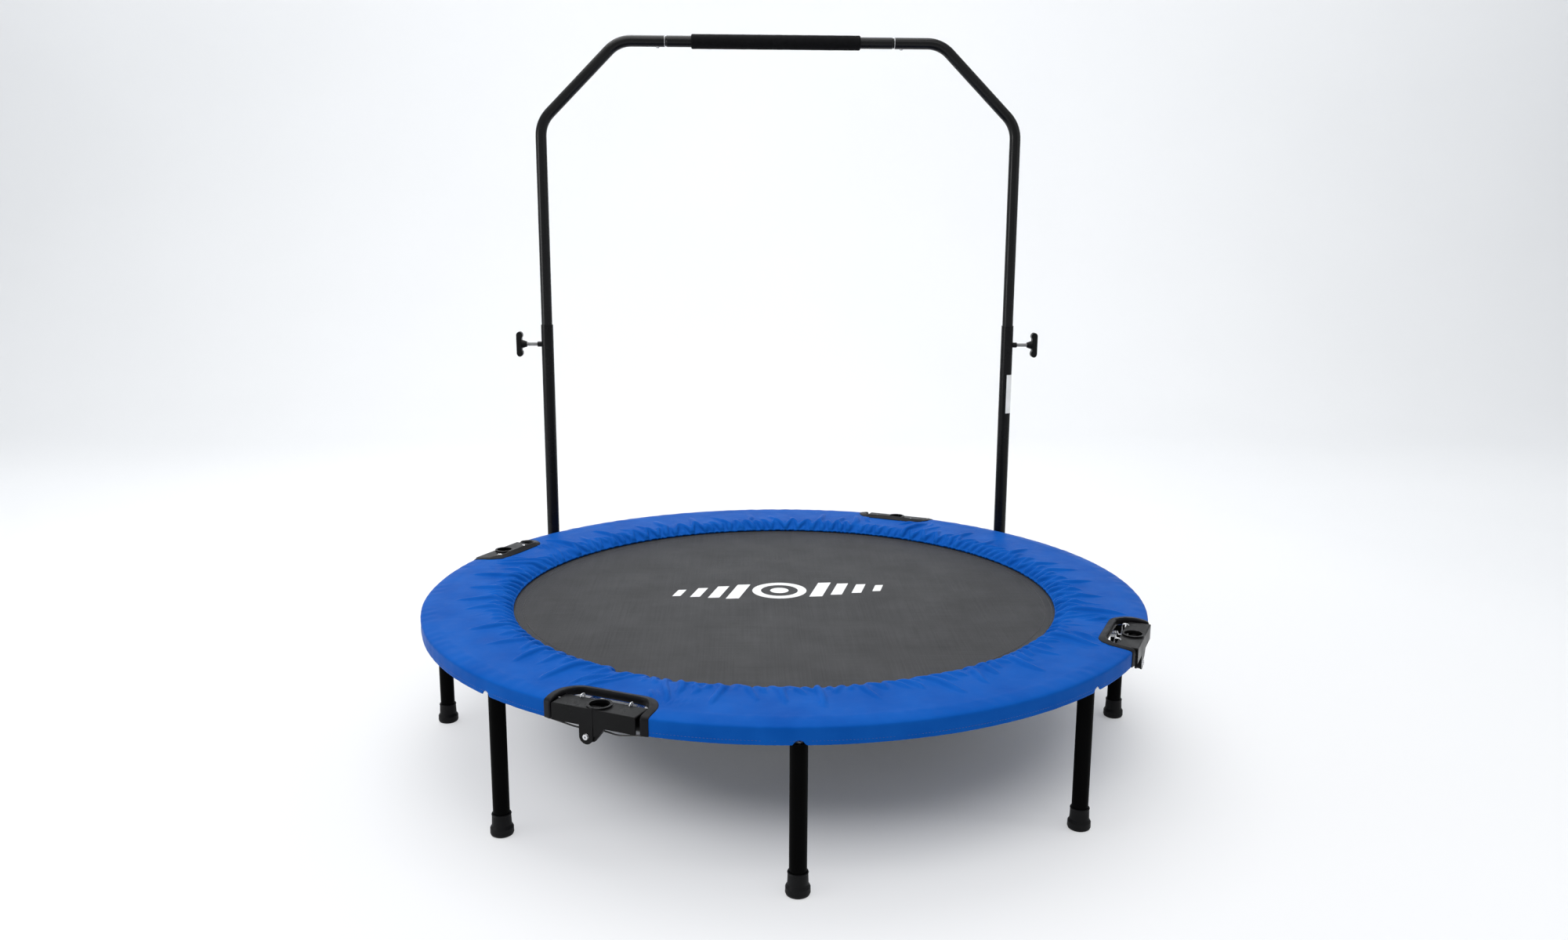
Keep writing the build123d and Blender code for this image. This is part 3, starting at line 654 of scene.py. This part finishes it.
def cover_sheet():
    """The whole fabric sleeve: liner, rolled elastic edge, gathered top, and skirt between hinges."""
    rng = np.random.default_rng(seed + 1)
    liner_radii = (0.6075, 0.603, 0.58, 0.55, 0.52, 0.505, 0.495, 0.489)
    liner_heights = (0.2518, 0.2462, 0.2462, 0.2464, 0.2464, 0.2452, 0.2428, 0.2414)
    rows = []
    for radius, height in zip(liner_radii, liner_heights):
        limit = np.minimum(radius, column_edge - 0.0012 - (0.6075 - radius) * 0.02)
        sag = 0.0004 * waves(column_angle, 30, 140, 8, rng)
        rows.append(polar(column_angle, limit, height + np.where(radius < 0.6, sag, 0)))
    edge = top[0]
    out = edge / np.hypot(edge[:, 0], edge[:, 1])[:, None] * (1, 1, 0)
    for inward, down in ((-0.0022, 0.0030), (0.0002, 0.0026), (0.0012, 0.0014), (0.0008, 0.0004)):
        rows.append(edge - out * inward - np.array((0, 0, down)))
    rows += list(top)
    points = np.concatenate(rows)
    faces = list(grid_faces(len(rows), columns, wrap_columns=True))
    reach = np.hypot(points[:, 0], points[:, 1]).reshape(len(rows), columns)
    along = np.concatenate((np.array(liner_radii) - 1.1, [-0.62, -0.618, -0.616, -0.614]))
    uv = np.stack(np.broadcast_arrays(
        np.radians(column_angle)[None, :] * cloth_unroll,
        np.concatenate((np.broadcast_to(along[:, None], (len(along), columns)),
                        reach[len(along):]))), -1).reshape(-1, 2)

    # skirt: from the junction ring over the tube and down to the hem, between the openings
    outer_profile = np.array((
        (0.614, 0.2543), (0.620, 0.2537), (0.626, 0.2529), (0.631, 0.2519), (0.6345, 0.2508),
        (0.6358, 0.2497), (0.6361, 0.2478), (0.6360, 0.2450), (0.6359, 0.2415), (0.6359, 0.2380),
        (0.6359, 0.2345), (0.6358, 0.2315), (0.6357, 0.2290), (0.6356, 0.2270), (0.6352, 0.2257),
        (0.6345, 0.2256), (0.6342, 0.2270), (0.6344, 0.2290), (0.6345, 0.2310)))
    hem_row = 14
    first_top = len(rows) - 1
    start_column = [k * (opening_columns + arc_columns) + opening_columns for k in range(4)]
    total = len(points)
    new_points, new_uv = [], []
    for quarter, hinge in enumerate(hinge_angles):
        count = arc_columns + 1
        index = (start_column[quarter] + np.arange(count)) % columns
        previous = first_top * columns + index
        share = np.linspace(0, 1, count)
        path = lengths_along(np.vstack(((junction, 0.2548), outer_profile)))[1:]
        swell = waves(hinge + share * 90, 6, 26, 6, rng)
        wrinkle = waves(hinge + share * 90, 40, 150, 10, rng)
        for k, (radius, height) in enumerate(outer_profile):
            off = np.degrees(np.arcsin(opening_half / radius))
            angles = hinge + off + share * (90 - 2 * off)
            fade = np.minimum(1, np.minimum(share, 1 - share) * 30)
            low = min(1.0, k / hem_row)
            r = radius + fade * (0.0004 * swell * low + 0.00018 * wrinkle * low)
            z = height + fade * (0.0003 * wrinkle * (1 - low) + 0.0004 * swell * low ** 2)
            if height < leg_notch_top:
                for leg in leg_angles:
                    near = np.radians((angles - leg + 180) % 360 - 180) * radius
                    arch = hem_z - 0.002 + np.sqrt(np.maximum(leg_notch_radius ** 2 - near ** 2, 0))
                    lift = np.maximum(0, arch - hem_z) * (leg_notch_top - height) / (leg_notch_top - hem_z)
                    z = z + np.where(np.abs(near) < leg_notch_radius, lift, 0)
            new_points.append(polar(angles, r, z))
            unrolled = (np.radians(angles) * cloth_unroll, np.full(count, junction + path[k]))
            new_uv.append(np.stack(unrolled, -1))
            current = total + np.arange(count)
            faces += [(previous[j], previous[j + 1], current[j + 1], current[j])
                      for j in range(count - 1)]
            previous = current
            total += count
    return np.concatenate([points] + new_points), faces, np.concatenate([uv] + new_uv)


points, faces, uv = cover_sheet()
cover = piece("spring_cover", points, faces, "cover_fabric", uv=uv)
thicken(cover, sleeve_thickness)
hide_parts("cover_front_half", "cover_rear_half")
follow_fold(cover, *cover_bend)


# ---- foam inside the cover
def foam_ring():
    """Closed-cell foam ring, cut back from the hinge openings."""
    section_shape = ((0.03, 0.4), (0.04, 0.1), (0.08, 0), (0.5, 0), (0.95, 0), (1, 0.15), (1, 0.5),
                     (0.99, 0.88), (0.93, 1), (0.5, 1), (0.14, 1), (0.08, 0.88), (0.045, 0.66))
    gap_below, gap_above, gap_outside, foam_outer = 0.0012, 0.0014, 0.004, 0.598
    low, high = foam_low.z + gap_below, foam_high.z - gap_above
    outer = np.minimum(foam_outer, column_edge - gap_outside)
    step = 4
    rings = [polar(column_angle[::step], foam_inner + x * (outer[::step] - foam_inner),
                   low + y * (high - low)) for x, y in section_shape]
    return np.concatenate(rings), grid_faces(len(rings), columns // step, wrap_rows=True, wrap_columns=True)


foam = piece("pad_foam_ring", *foam_ring(), "foam")
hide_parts("cover_foam_front", "cover_foam_rear")
follow_fold(foam, *cover_bend)


# ---- mat, print, webbing and stitches
def mat_disc():
    """The jumping mat: flat, its edge slightly scalloped between the rings that pull it."""
    rng = np.random.default_rng(seed + 2)
    count = spring_count * 6
    angles = np.linspace(0, 360, count, endpoint=False)
    radii = mat_radius * np.concatenate((np.linspace(0.012, 0.9, 70), np.linspace(0.9, 1, 16)[1:]))
    pull = np.cos(np.radians((angles - first_spring["front"]) * spring_count))
    ripple = waves(angles, 20, 90, 12, rng)
    thickness = mat_high.z - mat_low.z
    scallop, rippled = 0.0007, 0.0002
    rows, uv_rows = [], []
    for side in (1, -1):
        for radius in (radii if side > 0 else radii[::-1]):
            edge = np.clip((radius / mat_radius - 0.9) * 10, 0, 1) ** 2
            r = radius - scallop * edge * (1 - pull)
            z = mat_high.z - rippled * edge * (1 + ripple) - (0 if side > 0 else thickness * 0.55)
            rows.append(polar(angles, r, z))
            uv_rows.append(rows[-1][:, :2])
    points = np.concatenate(rows)
    n = len(rows)
    faces = [f[::-1] for f in list(grid_faces(n, count, wrap_columns=True)) + end_caps(n, count)]
    return points, faces, np.concatenate(uv_rows)


points, faces, uv = mat_disc()
mat = piece("jumping_mat", points, faces, "mat_fabric", uv=uv)
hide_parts("mat_front_half", "mat_rear_half")
follow_fold(mat, *mat_bend)


def print_mark():
    """A plain geometric mark: a ring with a dot, and slanted bars that get shorter to each side.
    Its faces are about 1.3 mm wide."""
    rise, tilt, middle = 0.00011, math.radians(4), np.array((-0.008, 0.032))
    shapes = []

    def lay(x, y):
        c, s = math.cos(tilt), math.sin(tilt)
        flat = np.stack((middle[0] + x * c - y * s, middle[1] + x * s + y * c,
                         np.full_like(x, mat_high.z + rise)), -1)
        shapes.append((flat.reshape(-1, 3), grid_faces(*x.shape)))

    def arc(inner, outer):
        turn, r = np.meshgrid(np.linspace(0, 2 * math.pi, 241), np.linspace(inner, outer, 14), indexing="ij")
        lay(r * np.cos(turn), r * np.sin(turn))

    def bar(left, width, height, lean):
        u, v = np.meshgrid(np.linspace(0, 1, 19), np.linspace(-0.5, 0.5, 67), indexing="ij")
        lay(left + width * u + lean * v * height, height * v)

    arc(0.034, 0.050)
    arc(0.0005, 0.017)
    for k in range(4):
        width, height = 0.024 - 0.003 * k, 0.086 - 0.016 * k
        for side in (-1, 1):
            centre = side * (0.076 + 0.036 * k)
            bar(centre - width / 2, width, height, 0.32)
    return merge(shapes)


points, faces = print_mark()
mark = piece("printed_mark", points, faces, "mat_fabric", ink, uv=points[:, :2])
follow_fold(mark, *mat_bend)


def stitch_row(radius, height, length, gap, thickness, spans=((0.0, 360.0),), proud=False):
    """Thread dashes along a circle. proud makes them lie on an upright wall instead of a level one."""
    shapes = []
    for start, end in spans:
        count = int(math.radians(end - start) * radius / (length + gap))
        for k in range(count):
            angle = start + (k + 0.5) * (end - start) / count
            half = math.degrees(length / 2 / radius)
            path = polar(angle + np.array((-1, -0.7, 0, 0.7, 1)) * half, radius, height)
            lift = thickness * np.array((-0.2, 0.35, 0.6, 0.35, -0.2))
            path = path + (lift[:, None] * radial(angle) if proud else lift[:, None] * (0, 0, 1.0))
            shapes.append(wire(path, thickness * np.array((0.35, 0.6, 0.6, 0.6, 0.35)), 5))
    return shapes


mat_rows = [s for r in stitch_radii for s in stitch_row(r, mat_high.z, 0.0042, 0.0018, 0.0006)]
mat_stitches = piece("mat_stitching", *merge(mat_rows), "webbing", black_thread)
follow_fold(mat_stitches, *mat_bend)

end_gap = 0.6                   # degrees without stitches at each end of the skirt
arcs = [(h + corner_angle + end_gap, h + 90 - corner_angle - end_gap) for h in hinge_angles]
hem_row = stitch_row(skirt_radius, hem_z + hem_stitch_rise, 0.0034, 0.0016, 0.0005, arcs, proud=True)
hem_stitches = piece("hem_stitching", *merge(hem_row), "cover_fabric", blue_thread)
follow_fold(hem_stitches, *cover_bend)


def webbing_band():
    """Band sewn under the mat's edge, with a loop of webbing round the base of each V-ring."""
    low, high = webbing_low.z, mat_low.z
    inner, outer = 0.468, 0.4968
    angles = np.linspace(0, 360, spring_count * 8, endpoint=False)
    shape = ((inner, low + 0.0004), (inner + 0.0004, low), (outer - 0.0006, low), (outer, low + 0.0006),
             (outer, high - 0.0002), (inner, high - 0.0002))
    band = np.concatenate([polar(angles, r, z) for r, z in shape])
    parts = [(band, grid_faces(len(shape), len(angles), wrap_rows=True, wrap_columns=True))]
    loop = np.array(((0.4955, 0.2345), (0.4990, 0.2342), (0.5018, 0.2350), (0.5026, 0.2370),
                     (0.5018, 0.2390), (0.4992, 0.2397), (0.4940, 0.2385), (0.4940, 0.2375),
                     (0.4988, 0.2386), (0.5008, 0.2382), (0.5014, 0.2370), (0.5006, 0.2358),
                     (0.4986, 0.2352), (0.4958, 0.2354)))
    across = np.array((-0.0075, -0.0071, 0.0071, 0.0075))
    inset = (0.00025, 0, 0, 0.00025)
    for spots in spring_angles.values():
        for angle in spots:
            ring = [place(angle, x, loop[:, 0] - d, loop[:, 1]) for x, d in zip(across, inset)]
            faces = list(grid_faces(len(ring), len(loop), wrap_columns=True))
            parts.append((np.concatenate(ring), faces + end_caps(len(ring), len(loop))))
    return merge(parts)


webbing = piece("mat_webbing", *webbing_band(), "webbing")
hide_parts("mat_webbing_front", "mat_webbing_rear")
follow_fold(webbing, *mat_bend)


# ---- springs and V-rings
def spring_path(over_plate):
    """Centre line of one spring's wire at angle 0: loop, coil and frame hook, which goes into the
    tube or over a bracket's plate."""
    loop_turn = np.radians(np.linspace(60, 352, 22))
    loop_points = [(0, hook_loop_radius + hook_loop * math.cos(t), ring_z + hook_loop * math.sin(t))
                   for t in loop_turn]
    pitch = 2.02 * wire_radius
    turns = (coil_to - coil_from) / pitch
    coil_turn = np.linspace(0, 2 * math.pi * turns, int(turns * 10))
    coil = [(coil_radius * math.sin(t), coil_from + pitch * t / (2 * math.pi),
             ring_z - coil_radius * math.cos(t)) for t in coil_turn]
    last = coil_turn[-1]
    inside = ring_radius - tube_radius + 0.0045
    lead_in = [(0, 0.5195, ring_z - 0.0008), (0, 0.5235, ring_z - 0.0024), (0, 0.5258, ring_z - 0.0042)]
    lead_out = [(coil_radius * 0.6 * math.sin(last), coil_to + 0.0012,
                 ring_z - coil_radius * 0.6 * math.cos(last)),
                (0, coil_to + 0.0032, ring_z - 0.0006)]
    if over_plate:
        end, low = plate_hook_end
        hook = ((0.5945, ring_z), (plate_hook_rise - 0.001, ring_z + 0.001),
                (plate_hook_rise, ring_z + 0.004), (plate_hook_rise, plate_hook_top - 0.0028),
                (plate_hook_rise + 0.0008, plate_hook_top - 0.0008),
                (plate_hook_rise + 0.0028, plate_hook_top), (end - 0.0026, plate_hook_top),
                (end - 0.0007, plate_hook_top - 0.0008), (end, plate_hook_top - 0.0026), (end, low))
    else:
        hook = ((coil_to + 0.007, ring_z), (inside - 0.003, ring_z), (inside - 0.0012, ring_z + 0.0004),
                (inside - 0.0003, ring_z + 0.0014), (inside, ring_z + 0.0042))
    lead_out += [(0, out, up) for out, up in hook]
    x, out, up = np.array(loop_points + lead_in + coil + lead_out).T
    return place(0, x, out, up)


def v_ring_path():
    """Centre line of one V-ring at angle 0: a rounded triangle that points at its spring."""
    half, narrow, cut = 0.0112, 0.0028, 0.0022
    base, tip = 0.4995, 0.5102
    corners = np.array(((-half, base), (half, base), (narrow, tip), (-narrow, tip)))
    path = []
    for k in range(4):
        path += corner_curve(corners[k - 1], corners[k], corners[(k + 1) % 4], cut, (0, 0.25, 0.5, 0.75, 1))
    path = np.array(path)
    return place(0, path[:, 0], path[:, 1], ring_z)


tube_spring = wire(spring_path(False), drawn_radius, 6)
plate_spring = wire(spring_path(True), drawn_radius, 6)
one_ring = wire(v_ring_path(), ring_wire_radius, 8, closed=True)
for half, spots in spring_angles.items():
    beside_hinge = [min(abs((a - h + 180) % 360 - 180) for h in hinge_angles) < spring_step for a in spots]
    springs = [plate_spring if near else tube_spring for near in beside_hinge]
    for label, shapes, stands_for in (("coil_springs", springs, "springs"),
                                      ("v_rings", [one_ring] * len(spots), "mat_rings")):
        shape = merge([turned(shape, angle) for shape, angle in zip(shapes, spots)])
        made = piece(f"{label}_{half}", *shape, "spring_steel")
        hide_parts(f"{stands_for}_{half}")
        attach(made, f"{half}_half")


# ---- vinyl guards and hem elastic
def rounded(corners, radius, steps=6):
    """An open path through corners, each rounded by a short curve."""
    corners = np.asarray(corners, float)
    path = [corners[0]]
    for a, b, c in zip(corners, corners[1:], corners[2:]):
        cut = min(radius, 0.45 * np.linalg.norm(a - b), 0.45 * np.linalg.norm(c - b))
        path += corner_curve(a, b, c, cut, np.linspace(0, 1, steps))
    return np.array(path + [corners[-1]])


def refine(path, spacing):
    """The same path with points about that far apart."""
    steps = lengths_along(path)
    at = np.linspace(0, steps[-1], max(2, int(steps[-1] / spacing)))
    return np.stack([np.interp(at, steps, path[:, k]) for k in range(path.shape[1])], -1)


rim_profile = np.concatenate((skin_profile[4:-1], (
    (0.6310, 0.2519), (0.6345, 0.2508), (0.6358, 0.2497), (0.6363, 0.2478), (0.6363, 0.2420),
    (0.6362, 0.2340), (0.6360, 0.2249))))
rim_length = lengths_along(rim_profile)


def rim_at(length):
    """Radius and height on the cover's section, by length along it."""
    return np.array([np.interp(length, rim_length, rim_profile[:, k]) for k in (0, 1)])


def on_cover(hinge, around, length, rise):
    """Points by distance round the ring, length along the cover's section, and height off its surface."""
    radius, height = rim_at(length)
    step = 0.0015
    slope_out, slope_up = rim_at(length + step) - rim_at(length - step)
    size = np.hypot(slope_out, slope_up)
    radius = radius - rise * slope_up / size
    height = height + rise * slope_out / size
    return place(hinge, around, np.sqrt(radius ** 2 - around ** 2), height)


def guard_shape(hinge, arch):
    """Vinyl binding round a hinge opening: flange that hugs the fabric, raised nose and inner wall."""
    def length_at(around, out):
        return np.interp(np.hypot(around, out), rim_profile[:5, 0], rim_length[:5])

    hem = rim_length[-1] - 0.0006
    corner = length_at(opening_half, opening_radius)
    arc = [(x, length_at(x, shoulder_radius)) for x in np.linspace(-shoulder_half, shoulder_half, 5)]
    path = rounded([(-opening_half, hem), (-opening_half, corner)] + arc
                   + [(opening_half, corner), (opening_half, hem)], 0.015, 10)
    path = refine(path, 0.0022)
    along = np.gradient(path, axis=0)
    along /= np.linalg.norm(along, axis=1)[:, None]
    aside = np.stack((along[:, 1], -along[:, 0]), -1)
    reach, level = rim_at(path[:, 1])
    over_tube = np.sqrt(np.maximum(tube_radius ** 2 - (reach - ring_radius) ** 2, 0))
    tube_gap, least_depth, most_depth = 0.0009, 0.0016, 0.0085
    depth = np.clip(level - ring_z - over_tube - tube_gap, least_depth, most_depth)
    depth = np.where(reach > cover_outer - 0.009, least_depth, depth)
    crown = np.clip(1 - (path[:, 0] / (opening_half - 0.004)) ** 2, 0, 1) ** 0.6
    swollen = arch * crown * np.clip((0.640 - reach) / 0.03, 0, 1)
    flange = 0.0105
    rows = []
    for k in range(len(path)):
        d = depth[k]
        shape = np.array((
            (flange, 0.0002), (flange + 0.0004, 0.0009), (flange - 0.0006, 0.0015), (0.0060, 0.0019),
            (0.0030, 0.0024), (0.0006, 0.0027), (-0.0009, 0.0022), (-0.0016, 0.0008),
            (-0.0017, -d + 0.0005), (-0.0013, -d), (-0.0007, -d), (-0.0004, -d + 0.0004),
            (-0.0002, 0.0001), (0.0030, 0.0003)))
        lift = swollen[k] * np.clip(1 - shape[:, 0] / flange, 0, 1) ** 1.3
        spot = path[k] + shape[:, :1] * aside[k]
        rows.append(on_cover(hinge, spot[:, 0], spot[:, 1], shape[:, 1] + lift))
    faces = list(grid_faces(len(rows), len(rows[0]), wrap_columns=True))
    return np.concatenate(rows), faces + end_caps(len(rows), len(rows[0]))


def elastic_path(hinge):
    """Line of the hem's elastic where it crosses an opening, behind the hinge lug."""
    corners = ((-0.0745, 0.6325, 0.2262), (-0.032, 0.6262, 0.2166), (-0.012, 0.6230, 0.2174),
               (0.012, 0.6230, 0.2174), (0.032, 0.6262, 0.2160), (0.0745, 0.6325, 0.2262))
    path = refine(rounded(corners, 0.010), 0.002)
    return place(hinge, path[:, 0], path[:, 1], path[:, 2])


guard_names = {-26.0: "front_left", 64.0: "right", 154.0: "back", 244.0: "back_left"}
guards_for = {-26.0: ("hinge_guards_front",), 154.0: ("hinge_guards_rear",), 64.0: (), 244.0: ()}
arch_rise = {-26.0: 0.0015, 64.0: 0.0020, 154.0: 0.0045, 244.0: 0.0050}
for hinge, name in guard_names.items():
    guard = piece(f"hinge_guard_{name}", *guard_shape(hinge, arch_rise[hinge]), "guard_vinyl")
    path = elastic_path(hinge)
    elastic = piece(f"hem_elastic_{name}", *wire(path, elastic_radius, 8), "webbing", black_thread)
    for made in (guard, elastic):
        if hinge in fold_hinges:
            follow_fold(made, *cover_bend)
        else:
            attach(made, "front_half" if hinge < 0 else "rear_half")
    if guards_for[hinge]:
        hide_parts(*guards_for[hinge])


# ---- foam grip
def grip_sleeve():
    """Foam sleeve with rounded ends and a slightly uneven surface."""
    rng = np.random.default_rng(seed + 3)
    outer = (grip_high.z - grip_low.z) / 2
    bore = 0.01115
    ends = [(0.0002, bore), (0.0, 0.0120), (0.0004, 0.0130), (0.0012, 0.0138), (0.0024, 0.0143),
            (0.0040, outer)]
    length = grip_high.x - grip_low.x
    inner_x = np.linspace(0.008, length - 0.008, 80)
    profile = ends + [(x, outer) for x in inner_x] + [(length - x, r) for x, r in ends[::-1]]
    turn = circle(40)
    dent_depth, wave_depth = 0.00006, 0.00015
    dents = rng.normal(0, dent_depth, (len(profile), len(turn)))
    soft = wave_depth * np.sin(np.array([p[0] for p in profile]) * 90)[:, None]
    rows = []
    for k, (x, r) in enumerate(profile):
        bumpy = r - (np.abs(dents[k]) + np.abs(soft[k]) if 5 < k < len(profile) - 6 else 0)
        rows.append(np.stack((np.full_like(turn, grip_low.x + x), bar_y + bumpy * np.cos(turn),
                              bar_z + bumpy * np.sin(turn)), -1))
    return np.concatenate(rows), grid_faces(len(rows), len(turn), wrap_rows=True, wrap_columns=True)


grip = piece("grip_sleeve", *grip_sleeve(), "grip_foam")
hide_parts("foam_grip")
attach(grip, "handle_bar")


def end_highlight_ring(x):
    """Ring of bright metal on the rim of a handle tube where it meets the middle tube: a painted highlight
    on the tube's cut end.
    """
    turn = circle(48)
    inset, rim_wire = 0.0003, 0.0006
    rim = handle_radius - inset
    path = np.stack((np.full_like(turn, x), bar_y + rim * np.cos(turn), bar_z + rim * np.sin(turn)), -1)
    return wire(path, rim_wire, 8, closed=True)


both_ends = merge([end_highlight_ring(side_tube_low.x), end_highlight_ring(-side_tube_low.x)])
# painted highlight: bright zinc rings stand in for the light caught on the black tubes' cut ends
end_highlights = piece("handle_tube_end_highlights", *both_ends, "handle_tube", slot_materials["zinc"])
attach(end_highlights, "handle_bar")


# ---- studio
def studio_paper():
    """Pale paper with a soft glow in a ring round the deck. The glow stands for light that the plain
    lamps don't give: the photo's floor is bright right up to a small shadow."""
    made = new_material("studio_paper", (0.83, 0.84, 0.85), 0.9, Emission_Color=(0.98, 0.985, 1, 1))
    at = coordinates(made)
    plain = cloudy_tint(made, at, 0.8, 2, (0.82, 0.83, 0.84), (0.84, 0.85, 0.86))
    middle, reach = (0.10, 0.10), (0.50, 0.55)
    scale = (1 / reach[0], 1 / reach[1], 0)
    shift = (-middle[0] * scale[0], -middle[1] * scale[1], 0)
    at = node(made, "ShaderNodeMapping", {"Vector": at, "Location": shift, "Scale": scale}).outputs["Vector"]
    distance = node(made, "ShaderNodeVectorMath", {0: at}, operation="LENGTH").outputs["Value"]
    rise = spread(made, distance, 0, 1, 0.76, 1.30, interpolation_type="SMOOTHSTEP")
    fall = spread(made, distance, 1, 0, 1.9, 4.0)
    glow = math_node(made, "MULTIPLY", rise, fall)
    strongest = 0.54
    mix = node(made, "ShaderNodeMix", {"Factor": glow}, data_type="RGBA")
    made.node_tree.links.new(plain.outputs["Result"], mix.inputs["A"])
    mix.inputs["B"].default_value = (0.35, 0.355, 0.36, 1)
    link(made, mix.outputs["Result"], "Base Color")
    link(made, math_node(made, "MULTIPLY", glow, strongest), "Emission Strength")
    return made


def backdrop():
    """Pale floor that curves up into a wall."""
    bend = np.linspace(-math.pi / 2, 0, 20)
    back, radius, width = 4.6, 1.6, 9.0
    profile = [(-6.0, 0.0), (-2.0, 0.0), (0.0, 0.0)]
    profile += [(back - radius + radius * math.cos(t), radius + radius * math.sin(t)) for t in bend]
    profile += [(back, 6.0)]
    rows = np.array([[(x, y, z) for x in (-width, -3.0, 0.0, 3.0, width)] for y, z in profile])
    mesh = smooth_mesh("studio_backdrop", rows, grid_faces(len(profile), rows.shape[1]))
    mesh.materials.append(studio_paper())
    add_object("studio_backdrop", mesh)


def area_light(name, place_at, look_at, size, power):
    light = bpy.data.lights.new(name, "AREA")
    light.shape = "RECTANGLE"
    light.size, light.size_y = size
    light.energy = power
    lamp = add_object(name, light)
    lamp.location = place_at
    lamp.rotation_euler = (Vector(look_at) - Vector(place_at)).to_track_quat("-Z", "Y").to_euler()


def studio():
    backdrop()
    area_light("overhead", (-0.55, 0.5, 3.0), (0, -0.1, 0), (2.4, 2.4), 57)
    area_light("left_soft", (-4.2, -1.5, 0.9), (0, -0.3, 0.0), (1.6, 1.6), 44)
    area_light("right_soft", (3.2, -1.2, 2.0), (0, 0, 0.5), (1.0, 2.4), 9)
    area_light("front_fill", (-0.3, -1.5, 3.2), (-0.3, -1.5, 0), (3.4, 0.9), 29)
    area_light("wall_wash", (0.0, 1.7, 3.4), (0.0, 4.4, 1.7), (8.0, 1.2), 80)
    bpy.context.scene.view_settings.view_transform = "Standard"
    world = bpy.data.worlds.new("studio_world")
    world.use_nodes = True
    inputs = world.node_tree.nodes["Background"].inputs
    inputs["Color"].default_value = (0.95, 0.97, 1.0, 1)
    inputs["Strength"].default_value = 0.61
    bpy.context.scene.world = world


def camera():
    """Camera a little left of the middle, 0.9 m up, tilted down and very slightly rolled."""
    stand = Vector((-0.073, -2.173, 0.902))
    yaw, down, roll = math.radians(1.88), math.radians(11.22), math.radians(0.30)
    ahead = Vector((math.sin(yaw) * math.cos(down), math.cos(yaw) * math.cos(down), -math.sin(down)))
    right = ahead.cross(Vector((0, 0, 1))).normalized()
    up = right.cross(ahead)
    right, up = (right * math.cos(roll) + up * math.sin(roll), up * math.cos(roll) - right * math.sin(roll))
    lens = bpy.data.cameras.new("camera")
    lens.sensor_width = 36.0
    lens.lens = 28.5
    made = add_object("camera", lens)
    turn = Matrix((right, up, -ahead)).transposed().to_4x4()
    made.matrix_world = Matrix.Translation(stand) @ turn
    bpy.context.scene.camera = made


studio()
camera()
